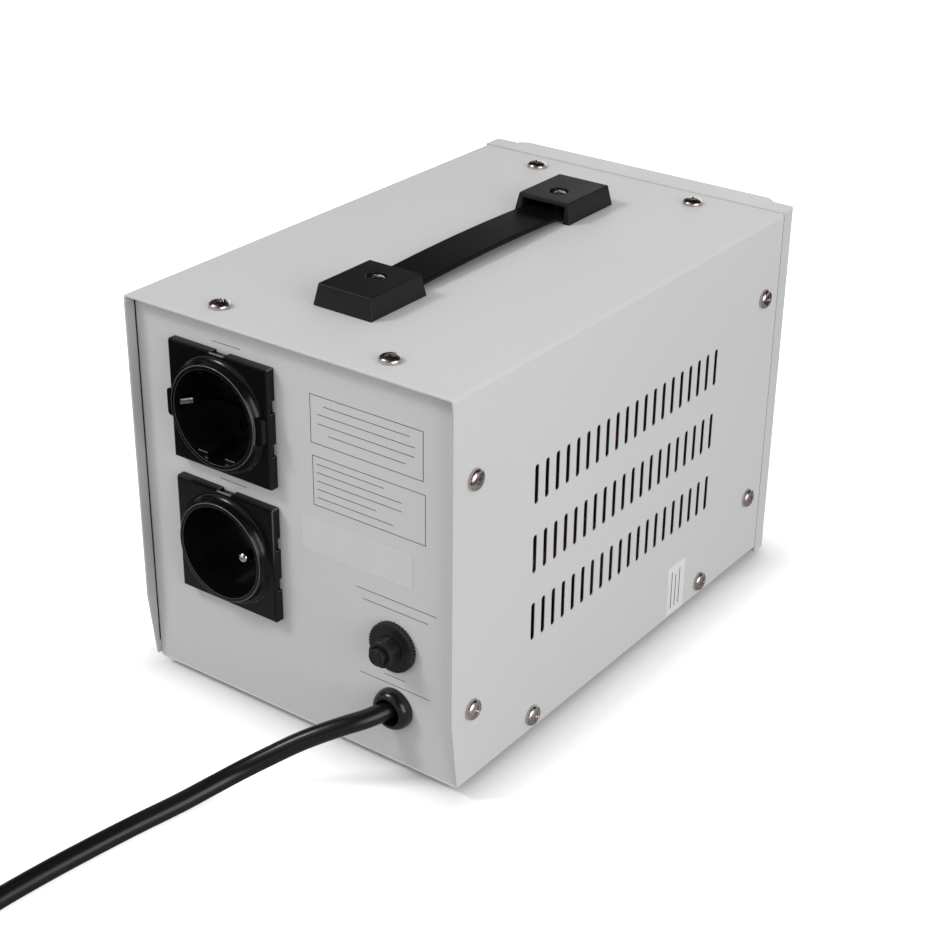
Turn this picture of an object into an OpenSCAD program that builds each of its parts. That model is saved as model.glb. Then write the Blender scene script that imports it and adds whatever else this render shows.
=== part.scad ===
// Voltage stabilizer in a bent sheet-metal case, millimetres, +Z up.
// The front with its display faces -Y and the rear with its sockets faces +Y.
// The origin is on the ground, under the middle of the box that holds the object without its lead.

/* [Case] */
// Outer width of the cover
case_w = 158; // [150:1:170]
// Depth of the cover from its front edge to its rear edge
case_d = 237; // [230:1:260]
// Height of the cover's top above the ground
case_top = 169.5; // [168:0.5:185]
// Thickness of the bent sheets
sheet = 1; // [0.8:0.1:1.2]
// Outer radius of the cover's bends
cover_bend = 1.6; // [1.4:0.1:2.5]
// How far the rear panel sits inside the cover's rear edge
rear_recess = 5; // [4:0.5:6]
// How far the cover's rear edge steps forward at its foot
edge_step = 3.5; // [1:0.5:3.8]
// Height at which the rear edge starts to step forward
edge_step_z = 35; // [25:1:45]
// Height of the cover's lower edges above the underside of the base
cover_lift = 3; // [2.5:0.5:4]
// Outer radius of the base's bends
base_bend = 2.5; // [2:0.25:3]
// Height of the lip along each side of the base
base_lip = 14; // [12:1:18]
// Depth of the flanges that the rear panel is screwed by
rear_flange = 14; // [13:1:18]
// Depth of the flanges that the front plate is screwed by
front_flange = 20; // [18:1:24]
// Height of the feet
foot_h = 2.5; // [2:0.5:4]
// Diameter of the feet
foot_d = 16; // [12:1:20]

/* [Vents] */
// Slots in each row
vent_cols = 20; // [10:1:20]
// Rows of slots in each side
vent_rows = 3; // [1:1:3]
// Distance from slot to slot
vent_pitch = 7; // [5:0.5:7.5]
// Distance from row to row
vent_row_pitch = 30; // [26:0.5:32]
// Width of a slot
vent_w = 2.4; // [1.6:0.1:3.2]
// Length of a slot
vent_h = 16.4; // [12:0.2:20]
// Height of the middle row
vent_mid_z = 86; // [82:1:90]

/* [Bezel] */
// Depth of the front bezel at its sides
bezel_d = 10; // [9:0.5:12]
// How far the middle of the bezel stands out from its sides
bezel_rise = 4; // [3:0.5:6]
// Distance of the raised middle from each side of the bezel
bezel_mid_in = 15; // [13:1:17]
// Wall of the bezel
bezel_wall = 2.5; // [2:0.25:3]
// Radius of the bezel's upright corners
bezel_corner = 3; // [2:0.5:4]
// Width of the display window
window_w = 92; // [80:1:96]
// Height of the display window
window_h = 34; // [30:1:38]
// Height of the window's middle as a share of the case's height
window_z_share = 0.708; // [0.69:0.002:0.73]
// Thickness of the window pane
pane_t = 2.9; // [2.8:0.1:3.2]
// Distance of the power switch and the delay button from the nearer side of the case
control_in = 43; // [38:1:47]
// Height of the power switch and the delay button as a share of the case's height
control_z_share = 0.33; // [0.3:0.01:0.35]

/* [Handle] */
// Length of an end cap along the strap
cap_l = 34; // [30:1:38]
// Width of an end cap
cap_w = 28.5; // [27:0.5:32]
// Height of an end cap
cap_h = 9; // [8.5:0.25:11]
// How far the cap's sides lean in
cap_lean = 1.6; // [1:0.1:2.2]
// Wall of an end cap
cap_wall = 2; // [1.6:0.1:2.2]
// Distance of each cap's middle from the nearer end of the case
cap_in = 52.5; // [46.5:0.5:58]
// Width of the strap
strap_w = 20; // [17:0.5:21]
// Thickness of the strap
strap_t = 2.6; // [2:0.1:3]
// Height of the strap's arch over its length
strap_rise = 2.4; // [1:0.2:4]

/* [Sockets] */
// Side of a socket's square plate
plate_s = 50; // [48:0.5:51]
// Thickness of the plate
plate_t = 4.5; // [4:0.25:5.5]
// Distance of the sockets' middle from the case's right side
socket_in = 46.5; // [44:0.5:48]
// Distance of the upper socket's middle below the case's top
socket_drop = 38; // [33:1:41]
// Distance between the sockets
socket_pitch = 58.5; // [56:0.5:62]
// Radius of a socket's well
well_r = 19.5; // [19.25:0.05:19.75]
// Wall of the collar round the well
rim_wall = 2.1; // [1.6:0.1:2.4]
// Height of the collar's rim above the rear panel
rim_h = 8.4; // [7.5:0.2:9.5]
// Depth of the well with earth clips
clip_well_d = 17.5; // [17:0.1:18]
// Depth of the well with an earth pin
pin_well_d = 15.5; // [15:0.1:16]

/* [Rear fittings] */
// Distance of the breaker and the lead from the case's left side
fitting_in = 31; // [28:1:35]
// Height of the circuit breaker
breaker_z = 57; // [54:1:60]
// Diameter of the breaker's knurled nut
nut_d = 21; // [18:0.5:23]
// How far the reset button's face stands out of the rear panel
button_out = 11.2; // [10.6:0.2:13]
// How far the reset button jumps out when the breaker trips
button_travel = 3; // [2:0.5:4]
// Height of the mains lead's bush
bush_z = 29; // [28:0.5:30]

/* [Transformer] */
// Outer radius of the winding as a share of the case's width and depth together
coil_share = 0.1443; // [0.13:0.001:0.15]
// Height of the winding
coil_h = 56; // [48:1:60]
// Distance of the transformer's middle behind the middle of the case
coil_y = 8; // [2:1:10]

/* [Hidden] */
$fn = 48;
fit = 0.2;
over = 1;

rear_reach = button_out - rear_recess;
rocker_rise = 5.6;
front_reach = bezel_d + bezel_rise + rocker_rise;
case_y = (front_reach - rear_reach) / 2;
rear_y = case_y + case_d / 2;
front_y = case_y - case_d / 2;
panel_y = rear_y - rear_recess;
panel_in_y = panel_y - sheet;
inner_w = case_w - 2 * sheet;
pan_w = inner_w - 2 * fit;
pan_top = case_top - sheet - fit;
floor_z = foot_h + sheet;
window_z = case_top * window_z_share;
control_x = case_w / 2 - control_in;
control_z = case_top * control_z_share;
bezel_mid_w = case_w / 2 - bezel_mid_in;
socket_x = case_w / 2 - socket_in;
socket_low_z = case_top - socket_drop - socket_pitch;
fitting_x = case_w / 2 - fitting_in;
cap_y = case_d / 2 - cap_in;
coil_r = (case_w + case_d) * coil_share;
plate_front_y = front_y + sheet;
plate_back_y = plate_front_y + sheet;

// Screws of the cover
screw_r = 2;
screw_hole_r = 2.2;
screw_head_r = 4.5;
screw_head_h = 2.8;
screw_head_edge = 0.7;
screw_l = 7;
cross_w = 1;
cross_l = 5;
cross_d = 1.5;
top_screw_x = 41;
top_screw_in = 13;
side_screw_rear_in = 12.5;
side_screw_front_in = 12.5;
side_screw_z_shares = [0.2183, 0.7935];
low_screw_y = 65.5;
low_screw_z = foot_h + 9.5;

// Feet
foot_inset_x = 20;
foot_inset_y = 24;

// Stickers
sticker_t = 0.15;
rear_sticker_in = 22;
rear_sticker_gap = 11.5;
rear_sticker_h = 14;
rear_sticker_z = 91.5;
side_sticker_w = 14;
side_sticker_h = 24;
side_sticker_y = 45;
side_sticker_z = foot_h + cover_lift + 1 + side_sticker_h / 2;

// Sockets
plate_lip = 1;
notch_w = 7;
notch_d = 1.4;
side_notch_w = 5;
side_notch_z = 9;
side_notch_t = 2.4;
cone_r = 24;
tail_s = 44.4;
tail_fit = 0.4;
tail_d = 30;
contact_gap = 9.5;
contact_hole_r = 2.6;
sleeve_r = 3.6;
sleeve_bore_r = 2.5;
sleeve_l = 14;
sleeve_skin = 2;
clip_w = 5;
clip_t = 0.8;
clip_stand = 2.2;
clip_slot = 1.6;
clip_out = 2.5;
earth_pin_r = 2.4;
earth_pin_l = 14;
earth_pin_off = 10;
earth_pin_foot_r = 4;
guide_w = 5;
guide_x = 7;
guide_t = 1.8;
guide_in = 1.5;
ear_r = 23.3;
ear_h = 11.5;
ear_chamfer = 2;
ear_drop = 0.6;

// Circuit breaker
neck_r = 5.3;
neck_hole_r = 5.5;
neck_out = 8.8;
neck_bore_r = 3.75;
button_r = 3.45;
button_keep = 9;
button_ring_r = 2.5;
button_ring_w = 0.5;
button_ring_d = 0.3;
nut_t = 2.6;
nut_teeth = 44;
nut_tooth_d = 0.5;
nut_face_r = 8.6;
thread_pitch = 1;
thread_d = 0.35;
breaker_w = 14;
breaker_h = 33;
breaker_d = 28;
blade_w = 6.3;
blade_t = 0.8;
blade_l = 9;
blade_z = 9;

// Mains lead, its bush and its plug
cord_r = 3.8;
bush_flange_r = 8.6;
bush_neck_r = 6.6;
bush_bore_r = 4.6;
bush_mouth_r = 6.9;
bush_dome_h = 5;
bush_edge_h = 1.4;
bush_tail = 6;
bush_flare = 3;
plug_r = 18.4;
relief_l = 32;
relief_r1 = 5;
relief_r2 = 7.5;
relief_ribs = 5;
relief_groove = 1;
plug_body_l = 36;
plug_face_l = 14;
plug_neck_r = 12;
plug_pin_r = 2.4;
plug_pin_l = 19;
plug_pin_root = 6;
plug_clip_w = 7;
plug_clip_t = 1;
plug_clip_l = 12;
plug_hole_r = 2.6;
plug_hole_d = 15;

// Power switch
switch_w = 22;
switch_h = 30;
switch_collar = 2;
switch_back_w = 19.2;
switch_back_h = 27;
switch_fit = 0.3;
switch_back_d = 11.5;
rocker_w = 17;
rocker_half = 11.2;
rocker_mid_t = 3.2;
rocker_end_t = 5.2;
rocker_back_t = 3;
rocker_back_half = 6;
rocker_tilt = 10;
rocker_pin_r = 1.2;
rocker_pin_l = 0.7;
pin_play = 0.05;
rocker_gap_w = 0.2;
rocker_gap_h = 1.1;
rocker_well_d = 10;
switch_blade_z = 7;

// Delay button
delay_r = 4.8;
delay_hole_r = 5.1;
delay_out = 3;
delay_travel = 2.5;
delay_flange_r = 6;
delay_flange_t = 1;
delay_gap = 0.3;
delay_stem_r = 2;
delay_stem_hole_r = 2.3;
delay_stem_in = 1.5;
delay_body_s = 12;

// Display
display_board_in = 23;
pane_flange = 4;
pane_flange_t = 1;
board_t = 1.6;
display_board_w = case_w - 2 * display_board_in;
display_board_h = case_top * 0.342;
display_board_drop = 8;
display_gap = 2;
digit_w = 34;
digit_h = 16;
digit_x = 22;
digit_count = 2;
lamp_r = 2.5;
lamp_rim_r = 3;
lamp_rim_t = 1;
lamp_hole_r = 2.65;
lamp_x = 16;
lamp_drop = 26;
lamp_count = 3;
post_r = 3.5;
post_pilot_r = 1.55;
post_screw_r = 1.5;
post_in_x = 10;
post_in_z = 14;
bezel_screw_l = 6;
bezel_screw_head_r = 2.8;
bezel_screw_head_h = 1.8;

// Handle
cap_cavity_w = strap_w + 1.6;
cap_cavity_h = cap_h - cap_wall;
cap_screw_in = 4;
cap_recess_r = 4;
cap_recess_d = 2.4;
handle_screw_head_r = 3.6;
handle_screw_head_h = 2.1;
handle_screw_r = 2;
handle_screw_hole_r = 2.2;
handle_screw_tail = 5;
handle_nut_af = 7;
handle_nut_h = 3.2;
strap_over = 8;
strap_half = cap_y + strap_over;
strap_hole_r = 2.5;
strap_hole_l = 8;
strap_gap = 0.3;
strap_steps = 24;

// Transformer
coil_hole_r = coil_r / 3;
coil_round = 9;
core_r1 = coil_r * 0.53;
core_r2 = coil_r * 0.81;
core_h = 38;
pad_r = coil_r * 0.88;
pad_t = 2;
stud_r = 4;
stud_hole_r = 4.2;
stud_top = 9;
stud_weld_r = 8;
stud_weld_h = 1.5;
dish_r = coil_r * 2 / 3;
dish_t = 1.6;
dish_step = 4;
dish_flat_r = 14;
clamp_nut_af = 13;
clamp_nut_h = 6.5;
washer_r = 10;
washer_t = 1.6;

// Control board
board_in = 21;
board_w = case_w - 2 * board_in;
board_h = case_top * 0.6136;
board_z = case_top * 0.5664;
board_off = case_d * 0.1772;
standoff_r = 3;
standoff_in = 6;
board_screw_r = 1.5;
board_screw_head_r = 2.8;
board_screw_head_h = 1.8;
board_screw_l = 6;
relay_w = 15.5;
relay_d = 15.8;
relay_h = 19.2;
relay_count = 5;
relay_pitch = board_w * 0.181;
relay_drop = 20;
cap_can_r = 6.3;
cap_can_l = 20;
cap_can_x = board_w * 0.31;
cap_can_count = 2;
cap_can_pitch = 17;
cap_can_rise = 30;
block_w = 52;
block_d = 10;
block_h = 12;
block_rise = 12;
block_ways = 6;
block_x = board_w * 0.19;
block_hole_r = 1.6;
block_hole_d = 4;

// Earth point
earth_in = 19;
earth_from_rear = 22.5;
earth_r = 2;
earth_l = 14;
earth_nut_af = 7;
earth_nut_h = 3.2;
ring_r = 5.2;
ring_t = 0.8;

// Wires
wire_r = 1.5;
wire_sides = 8;
wire_bend = 6;
core_off = 2.1;
core_angles = [90, 210, 330];
live_shares = [
    [-0.7, -0.37, 0.48], [-0.848, -0.257, 0.555], [-0.873, -0.068, 0.625], [-0.873, 0.17, 0.578],
    [-0.873, 0.35, 0.549], [-0.77, 0.5, 0.46]
];
neutral_shares = [
    [-0.52, -0.36, 0.33], [-0.85, -0.2, 0.21], [-0.87, 0.07, 0.207], [-0.85, 0.4, 0.218], [-0.82, 0.67, 0.207]
];
output_shares = [[0.253, -0.36, 0.484], [0.772, -0.26, 0.555], [0.873, 0.068, 0.59], [0.772, 0.5, 0.519]];

// Route of the mains lead, chosen by hand: how far right of the bush and behind the rear panel each point
// lies, and how high it is as a share of the way from the ground to the bush
cord_route = [
    [0, -10.2, 1], [0, -7.7, 1], [0.6, -1.2, 0.992], [2.5, 5, 0.972], [5.5, 10.8, 0.933], [10, 16.3, 0.877],
    [16.5, 22.4, 0.762], [24, 28.6, 0.595], [31.5, 36, 0.397], [38.5, 44.8, 0.214], [44, 55.8, 0.079],
    [48, 69.8, 0.012], [52, 87.8, 0], [55.5, 107.8, 0], [58.5, 127.8, 0], [60.7, 147.8, 0],
    [61.8, 167.8, 0], [62, 177.8, 0], [62, 187.8, 0]
];
cord_points = [for (p = cord_route) [p[0] - fitting_x, panel_y + p[1], cord_r + p[2] * (bush_z - cord_r)]];
cord_sides = 10;

// Coil of the lead that is put away
loop_mid_r = 43.6;
loop_pitch = 8.2;
loop_turns = 4.5;
loop_rings = 24;
loop_sides = 6;
loop_low_z = cord_r;
loop_layer = 8.2;
loop_straight = 8;
loop_climb = 0.5;
loop_rise_turns = 0.3;
loop_start_angle = 180;

// Extrudes a drawing in X and Z from y0 to y1
module along_y(y0, y1) {
    translate([0, y1, 0]) rotate([90, 0, 0]) linear_extrude(y1 - y0) children();
}

// Extrudes a drawing in Y and Z from x0 to x1
module along_x(x0, x1) {
    translate([x0, 0, 0]) rotate([90, 0, 90]) linear_extrude(x1 - x0) children();
}

// Turns what stands along +Z to stand along +Y
module facing_rear() {
    rotate([-90, 0, 0]) children();
}

// A rod along +Y from y0 to y1
module rod_y(r, y0, y1) {
    translate([0, y0, 0]) rotate([-90, 0, 0]) cylinder(r = r, h = y1 - y0);
}

// A rod along +X from x0 to x1
module rod_x(r, x0, x1) {
    translate([x0, 0, 0]) rotate([0, 90, 0]) cylinder(r = r, h = x1 - x0);
}

// A block between two corners
module block(low, high) {
    translate(low) cube(high - low);
}

// A rectangle between two corners with round corners
module rounded(x0, x1, y0, y1, r) {
    translate([x0 + r, y0]) square([x1 - x0 - 2 * r, y1 - y0]);
    translate([x0, y0 + r]) square([x1 - x0, y1 - y0 - 2 * r]);
    for (x = [x0 + r, x1 - r]) for (y = [y0 + r, y1 - r]) translate([x, y]) circle(r);
}

// An upright slot with round ends
module slot(w, h) {
    translate([-w / 2, -(h - w) / 2]) square([w, h - w]);
    for (s = [-1, 1]) translate([0, s * (h - w) / 2]) circle(w / 2);
}

// A domed screw head with a cross recess, standing on the XY plane, with its shank below
module dome_screw(head_r, head_h, edge, shank_r, shank_l) {
    crown = head_h - edge;
    ball_r = (head_r * head_r + crown * crown) / (2 * crown);
    difference() {
        union() {
            intersection() {
                cylinder(r = head_r, h = head_h);
                translate([0, 0, head_h - ball_r]) sphere(ball_r, $fn = 96);
            }
            translate([0, 0, -shank_l]) cylinder(r = shank_r, h = shank_l);
        }
        cross_recess(head_h);
    }
}

module cross_recess(top) {
    for (a = [0, 90])
        rotate(a) block([-cross_l / 2, -cross_w / 2, top - cross_d], [cross_l / 2, cross_w / 2, top + over]);
}

// A hexagon nut of a width across flats, standing on the XY plane
module hex_nut(af, h, hole_r) {
    difference() {
        cylinder(r = af / sqrt(3), h = h, $fn = 6);
        translate([0, 0, -over]) cylinder(r = hole_r, h = h + 2 * over);
    }
}

// Rings of points round a path, square to it, for a tube
function unit(v) = v / norm(v);
function path_dir(p, i) = unit(p[min(i + 1, len(p) - 1)] - p[max(i - 1, 0)]);
function first_side(d) = unit(cross(d, abs(d[2]) < 0.9 ? [0, 0, 1] : [1, 0, 0]));
function next_side(s, d) = unit(s - (s * d) * d);
function sides_along(p, i = 0, s = undef) =
    i == len(p) ? [] :
    let (d = path_dir(p, i), now = i == 0 ? first_side(d) : next_side(s, d))
    concat([now], sides_along(p, i + 1, now));
function tube_points(p, r, n) =
    let (side = sides_along(p))
    [for (i = [0:len(p) - 1]) let (d = path_dir(p, i), u = side[i], w = cross(d, u))
        for (k = [0:n - 1]) p[i] + r * (cos(360 * k / n) * u + sin(360 * k / n) * w)];
function tube_faces(m, n) = concat(
    [[for (k = [0:n - 1]) k]],
    [[for (k = [n - 1:-1:0]) (m - 1) * n + k]],
    [for (i = [0:m - 2]) for (k = [0:n - 1]) let (a = i * n + k, b = i * n + (k + 1) % n) [a, a + n, b + n]],
    [for (i = [0:m - 2]) for (k = [0:n - 1]) let (a = i * n + k, b = i * n + (k + 1) % n) [a, b + n, b]]
);

module tube(p, r, n) {
    polyhedron(tube_points(p, r, n), tube_faces(len(p), n), convexity = 6);
}

// Case

module cover_outline(out, bend) {
    half = case_w / 2 - out;
    top = case_top - out;
    low = foot_h + cover_lift - (out > 0 ? over : 0);
    translate([-half, low]) square([2 * half, top - bend - low]);
    translate([-half + bend, low]) square([2 * (half - bend), top - low]);
    for (s = [-1, 1]) translate([s * (half - bend), top - bend]) circle(bend);
}

module vent_cuts() {
    for (row = [0:vent_rows - 1]) for (col = [0:vent_cols - 1])
        along_x(-case_w / 2 - over, case_w / 2 + over)
            translate([
                case_y + (col - (vent_cols - 1) / 2) * vent_pitch,
                vent_mid_z + (row - (vent_rows - 1) / 2) * vent_row_pitch
            ]) slot(vent_w, vent_h);
}

module top_screw_places() {
    for (x = [-top_screw_x, top_screw_x]) for (y = [front_y + top_screw_in, rear_y - top_screw_in])
        translate([x, y, case_top]) children();
}

module side_screw_places() {
    for (share = side_screw_z_shares) for (y = [front_y + side_screw_front_in, rear_y - side_screw_rear_in])
        side_pair(y, share * case_top) children();
    for (s = [-1, 1]) side_pair(case_y + s * low_screw_y, low_screw_z) children();
}

module side_pair(y, z) {
    translate([case_w / 2, y, z]) rotate([0, 90, 0]) children();
    translate([-case_w / 2, y, z]) rotate([0, -90, 0]) children();
}

module screw_drill() {
    translate([0, 0, -sheet - fit - sheet - over]) cylinder(r = screw_hole_r, h = 2 * sheet + fit + 2 * over);
}

module handle_places() {
    for (s = [-1, 1]) translate([0, case_y + s * (cap_y - cap_screw_in), 0]) children();
}

module cover() {
    color("#c9cac8") difference() {
        along_y(front_y, rear_y) difference() {
            cover_outline(0, cover_bend);
            cover_outline(sheet, cover_bend - sheet);
        }
        along_x(-case_w / 2 - over, case_w / 2 + over) polygon([
            [rear_y + over, edge_step_z],
            [rear_y, edge_step_z],
            [rear_y - edge_step, foot_h + cover_lift],
            [rear_y - edge_step, foot_h + cover_lift - over],
            [rear_y + over, foot_h + cover_lift - over]
        ]);
        vent_cuts();
        top_screw_places() screw_drill();
        side_screw_places() screw_drill();
        handle_places() translate([0, 0, case_top - sheet - over])
            cylinder(r = handle_screw_hole_r, h = sheet + 2 * over);
    }
}

// The base, its lips, the rear panel and its flanges are one bent sheet
module chassis_block(in) {
    intersection() {
        along_y(plate_front_y - over * sign(in), panel_y - in)
            rounded(-pan_w / 2 + in, pan_w / 2 - in, foot_h + in, pan_top - in, base_bend - in);
        along_x(-case_w, case_w)
            rounded(plate_front_y - 2 * base_bend - over, panel_y - in,
                foot_h + in, pan_top - in, base_bend - in);
    }
}

module chassis() {
    color("#b9bab8") difference() {
        intersection() {
            difference() {
                chassis_block(0);
                chassis_block(sheet);
            }
            union() {
                block([-case_w, plate_front_y, 0], [case_w, rear_y, floor_z]);
                block([-case_w, plate_back_y + front_flange + over, 0], [case_w, rear_y, foot_h + base_lip]);
                block([-case_w, panel_y - rear_flange, 0], [case_w, rear_y, case_top]);
            }
        }
        for (z = [socket_low_z, socket_low_z + socket_pitch]) translate([socket_x, 0, z])
            block([-tail_s / 2 - tail_fit, panel_in_y - over, -tail_s / 2 - tail_fit],
                [tail_s / 2 + tail_fit, panel_y + over, tail_s / 2 + tail_fit]);
        translate([-fitting_x, 0, breaker_z]) rod_y(neck_hole_r, panel_in_y - over, panel_y + over);
        translate([-fitting_x, 0, bush_z]) rod_y(bush_neck_r + fit / 2, panel_in_y - over, panel_y + over);
        top_screw_places() screw_drill();
        side_screw_places() screw_drill();
    }
}

module front_plate() {
    color("#a7abac") difference() {
        along_y(plate_front_y, plate_back_y + front_flange)
            rounded(-pan_w / 2, pan_w / 2, floor_z, pan_top, base_bend);
        along_y(plate_back_y, plate_back_y + front_flange + over)
            rounded(-pan_w / 2 + sheet, pan_w / 2 - sheet, floor_z + sheet, pan_top - sheet, base_bend - sheet);
        translate([-control_x, 0, control_z]) block(
            [-switch_back_w / 2 - switch_fit, plate_front_y - over, -switch_back_h / 2 - switch_fit],
            [switch_back_w / 2 + switch_fit, plate_back_y + over, switch_back_h / 2 + switch_fit]);
        post_places() rod_y(post_pilot_r, plate_front_y - over, plate_back_y + over);
        board_places() rod_y(board_screw_r + fit / 2, plate_front_y - over, plate_back_y + over);
        top_screw_places() screw_drill();
        side_screw_places() screw_drill();
    }
}

module feet() {
    color("#1c1c1c")
    for (sx = [-1, 1]) for (sy = [-1, 1])
        translate([sx * (case_w / 2 - foot_inset_x), case_y + sy * (case_d / 2 - foot_inset_y), 0])
            cylinder(d = foot_d, h = foot_h);
}

module top_screws() {
    color("#c8bcb6") top_screw_places()
        dome_screw(screw_head_r, screw_head_h, screw_head_edge, screw_r, screw_l);
}

module side_screws() {
    color("#c8bcb6") side_screw_places()
        dome_screw(screw_head_r, screw_head_h, screw_head_edge, screw_r, screw_l);
}

module rear_sticker() {
    color("#d6d7d5") translate([0, panel_y, rear_sticker_z]) block(
        [-case_w / 2 + rear_sticker_in, 0, -rear_sticker_h / 2],
        [socket_x - plate_s / 2 - rear_sticker_gap, sticker_t, rear_sticker_h / 2]);
}

module side_sticker() {
    color("#d9dad8") translate([-case_w / 2, case_y - side_sticker_y, side_sticker_z]) block(
        [-sticker_t, -side_sticker_w / 2, -side_sticker_h / 2],
        [0, side_sticker_w / 2, side_sticker_h / 2]);
}

// Front bezel and what it carries

module post_places() {
    for (s = [-1, 1]) for (z = [floor_z + post_in_z, pan_top - post_in_z])
        translate([s * (case_w / 2 - post_in_x), 0, z]) children();
}

module front_bezel() {
    wall_y = front_y - bezel_d - bezel_rise + bezel_wall;
    side_wall_y = front_y - bezel_d + bezel_wall;
    color("#c6c7c5") {
        difference() {
            union() {
                translate([0, 0, foot_h]) linear_extrude(case_top - foot_h) bezel_solid_plan();
                along_y(front_y - bezel_d / 2, plate_front_y)
                    rounded(-pan_w / 2, pan_w / 2, foot_h, pan_top, base_bend);
            }
            translate([0, 0, foot_h + bezel_wall]) linear_extrude(case_top - foot_h - 2 * bezel_wall)
                bezel_cavity_plan();
            translate([0, 0, window_z]) block([-window_w / 2, wall_y - 2 * bezel_wall, -window_h / 2],
                [window_w / 2, wall_y + over, window_h / 2]);
            translate([-control_x, 0, control_z]) block(
                [-(switch_back_w + switch_fit) / 2, wall_y - 2 * bezel_wall, -(switch_back_h + switch_fit) / 2],
                [(switch_back_w + switch_fit) / 2, wall_y + over, (switch_back_h + switch_fit) / 2]);
            translate([control_x, 0, control_z]) rod_y(delay_hole_r, wall_y - 2 * bezel_wall, wall_y + over);
            lamp_places() rod_y(lamp_hole_r, wall_y - 2 * bezel_wall, wall_y + over);
        }
        difference() {
            post_places() rod_y(post_r, side_wall_y - fit, plate_front_y);
            post_places() rod_y(post_pilot_r, side_wall_y + over, plate_front_y + over);
        }
    }
}

module bezel_solid_plan() {
    side_y = front_y - bezel_d;
    back_y = front_y - 2 * fit;
    half = case_w / 2;
    translate([-half, side_y + bezel_corner]) square([case_w, back_y - side_y - bezel_corner]);
    translate([-half + bezel_corner, side_y]) square([case_w - 2 * bezel_corner, bezel_corner + fit]);
    for (s = [-1, 1]) translate([s * (half - bezel_corner), side_y + bezel_corner]) circle(bezel_corner);
    raised_plan(0);
}

module bezel_cavity_plan() {
    side_y = front_y - bezel_d + bezel_wall;
    half = case_w / 2 - bezel_wall;
    translate([-half, side_y]) square([2 * half, plate_front_y + over - side_y]);
    raised_plan(bezel_wall);
}

module raised_plan(in) {
    side_y = front_y - bezel_d + in;
    mid = bezel_mid_w - in / 2;
    polygon([
        [-mid - bezel_rise, side_y + fit], [-mid - bezel_rise, side_y],
        [-mid - bezel_rise * 3 / 4, side_y - bezel_rise / 2], [-mid, side_y - bezel_rise],
        [mid, side_y - bezel_rise], [mid + bezel_rise * 3 / 4, side_y - bezel_rise / 2],
        [mid + bezel_rise, side_y], [mid + bezel_rise, side_y + fit]
    ]);
}

module display_window() {
    inner_y = front_y - bezel_d - bezel_rise + bezel_wall;
    color("#15181c") translate([0, 0, window_z]) {
        block([-window_w / 2 + fit, inner_y - pane_t, -window_h / 2 + fit],
            [window_w / 2 - fit, inner_y + fit, window_h / 2 - fit]);
        block([-window_w / 2 - pane_flange, inner_y, -window_h / 2 - pane_flange],
            [window_w / 2 + pane_flange, inner_y + pane_flange_t, window_h / 2 + pane_flange]);
    }
}

board_back_y = plate_front_y - display_gap;
board_front_y = board_back_y - board_t;
display_mid_z = window_z - display_board_drop;

module display_board() {
    color("#1f5c3a") block([-display_board_w / 2, board_front_y, display_mid_z - display_board_h / 2],
        [display_board_w / 2, board_back_y, display_mid_z + display_board_h / 2]);
    color("#c8c8c0") for (x = [-1, 1]) for (z = [-1, 1])
        translate([
            x * (display_board_w / 2 - standoff_in), 0, display_mid_z + z * (display_board_h / 2 - standoff_in)
        ]) rod_y(standoff_r, board_back_y, plate_front_y);
}

module display_digits() {
    pane_back_y = front_y - bezel_d - bezel_rise + bezel_wall + pane_flange_t;
    color("#2a1414") for (i = [0:digit_count - 1])
        translate([(i - (digit_count - 1) / 2) * 2 * digit_x, 0, window_z])
            block([-digit_w / 2, pane_back_y + fit, -digit_h / 2], [digit_w / 2, board_front_y, digit_h / 2]);
}

module lamp_places() {
    for (i = [0:lamp_count - 1])
        translate([(i - (lamp_count - 1) / 2) * lamp_x, 0, window_z - lamp_drop]) children();
}

module indicator_lamps() {
    front = front_y - bezel_d - bezel_rise;
    color("#d8e6da") lamp_places() {
        rod_y(lamp_r, front + fit, board_front_y);
        translate([0, front + fit, 0]) intersection() {
            sphere(lamp_r);
            rod_y(lamp_r, -lamp_r, over);
        }
        rod_y(lamp_rim_r, front + bezel_wall + fit, front + bezel_wall + fit + lamp_rim_t);
    }
}

module bezel_screws() {
    color("#b5b5b5") post_places() translate([0, plate_back_y, 0]) facing_rear()
        dome_screw(bezel_screw_head_r, bezel_screw_head_h, fit, post_screw_r, bezel_screw_l);
}

// Power switch

switch_front_y = front_y - bezel_d - bezel_rise - switch_collar;
rocker_reach = rocker_end_t * cos(rocker_tilt) + rocker_half * sin(rocker_tilt);
pivot_y = front_y - bezel_d - bezel_rise - rocker_rise + rocker_reach;

module switch_body() {
    back_y = plate_back_y + switch_back_d;
    well_w = rocker_w / 2 + rocker_gap_w;
    well_h = rocker_half + rocker_gap_h;
    color("#191919") translate([-control_x, 0, control_z]) difference() {
        union() {
            block([-switch_w / 2, switch_front_y, -switch_h / 2],
                [switch_w / 2, switch_front_y + switch_collar, switch_h / 2]);
            block([-switch_back_w / 2, switch_front_y + switch_collar, -switch_back_h / 2],
                [switch_back_w / 2, back_y, switch_back_h / 2]);
        }
        block([-well_w, switch_front_y - over, -well_h], [well_w, switch_front_y + rocker_well_d, well_h]);
        translate([0, pivot_y, 0]) rod_x(rocker_pin_r + pin_play,
            -rocker_w / 2 - rocker_pin_l - fit, rocker_w / 2 + rocker_pin_l + fit);
    }
}

module switch_blades() {
    back_y = plate_back_y + switch_back_d;
    color("#c9a55c") translate([-control_x, back_y, control_z]) for (z = [-switch_blade_z, switch_blade_z])
        block([-blade_w / 2, 0, z - blade_t / 2], [blade_w / 2, blade_l, z + blade_t / 2]);
}

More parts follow.
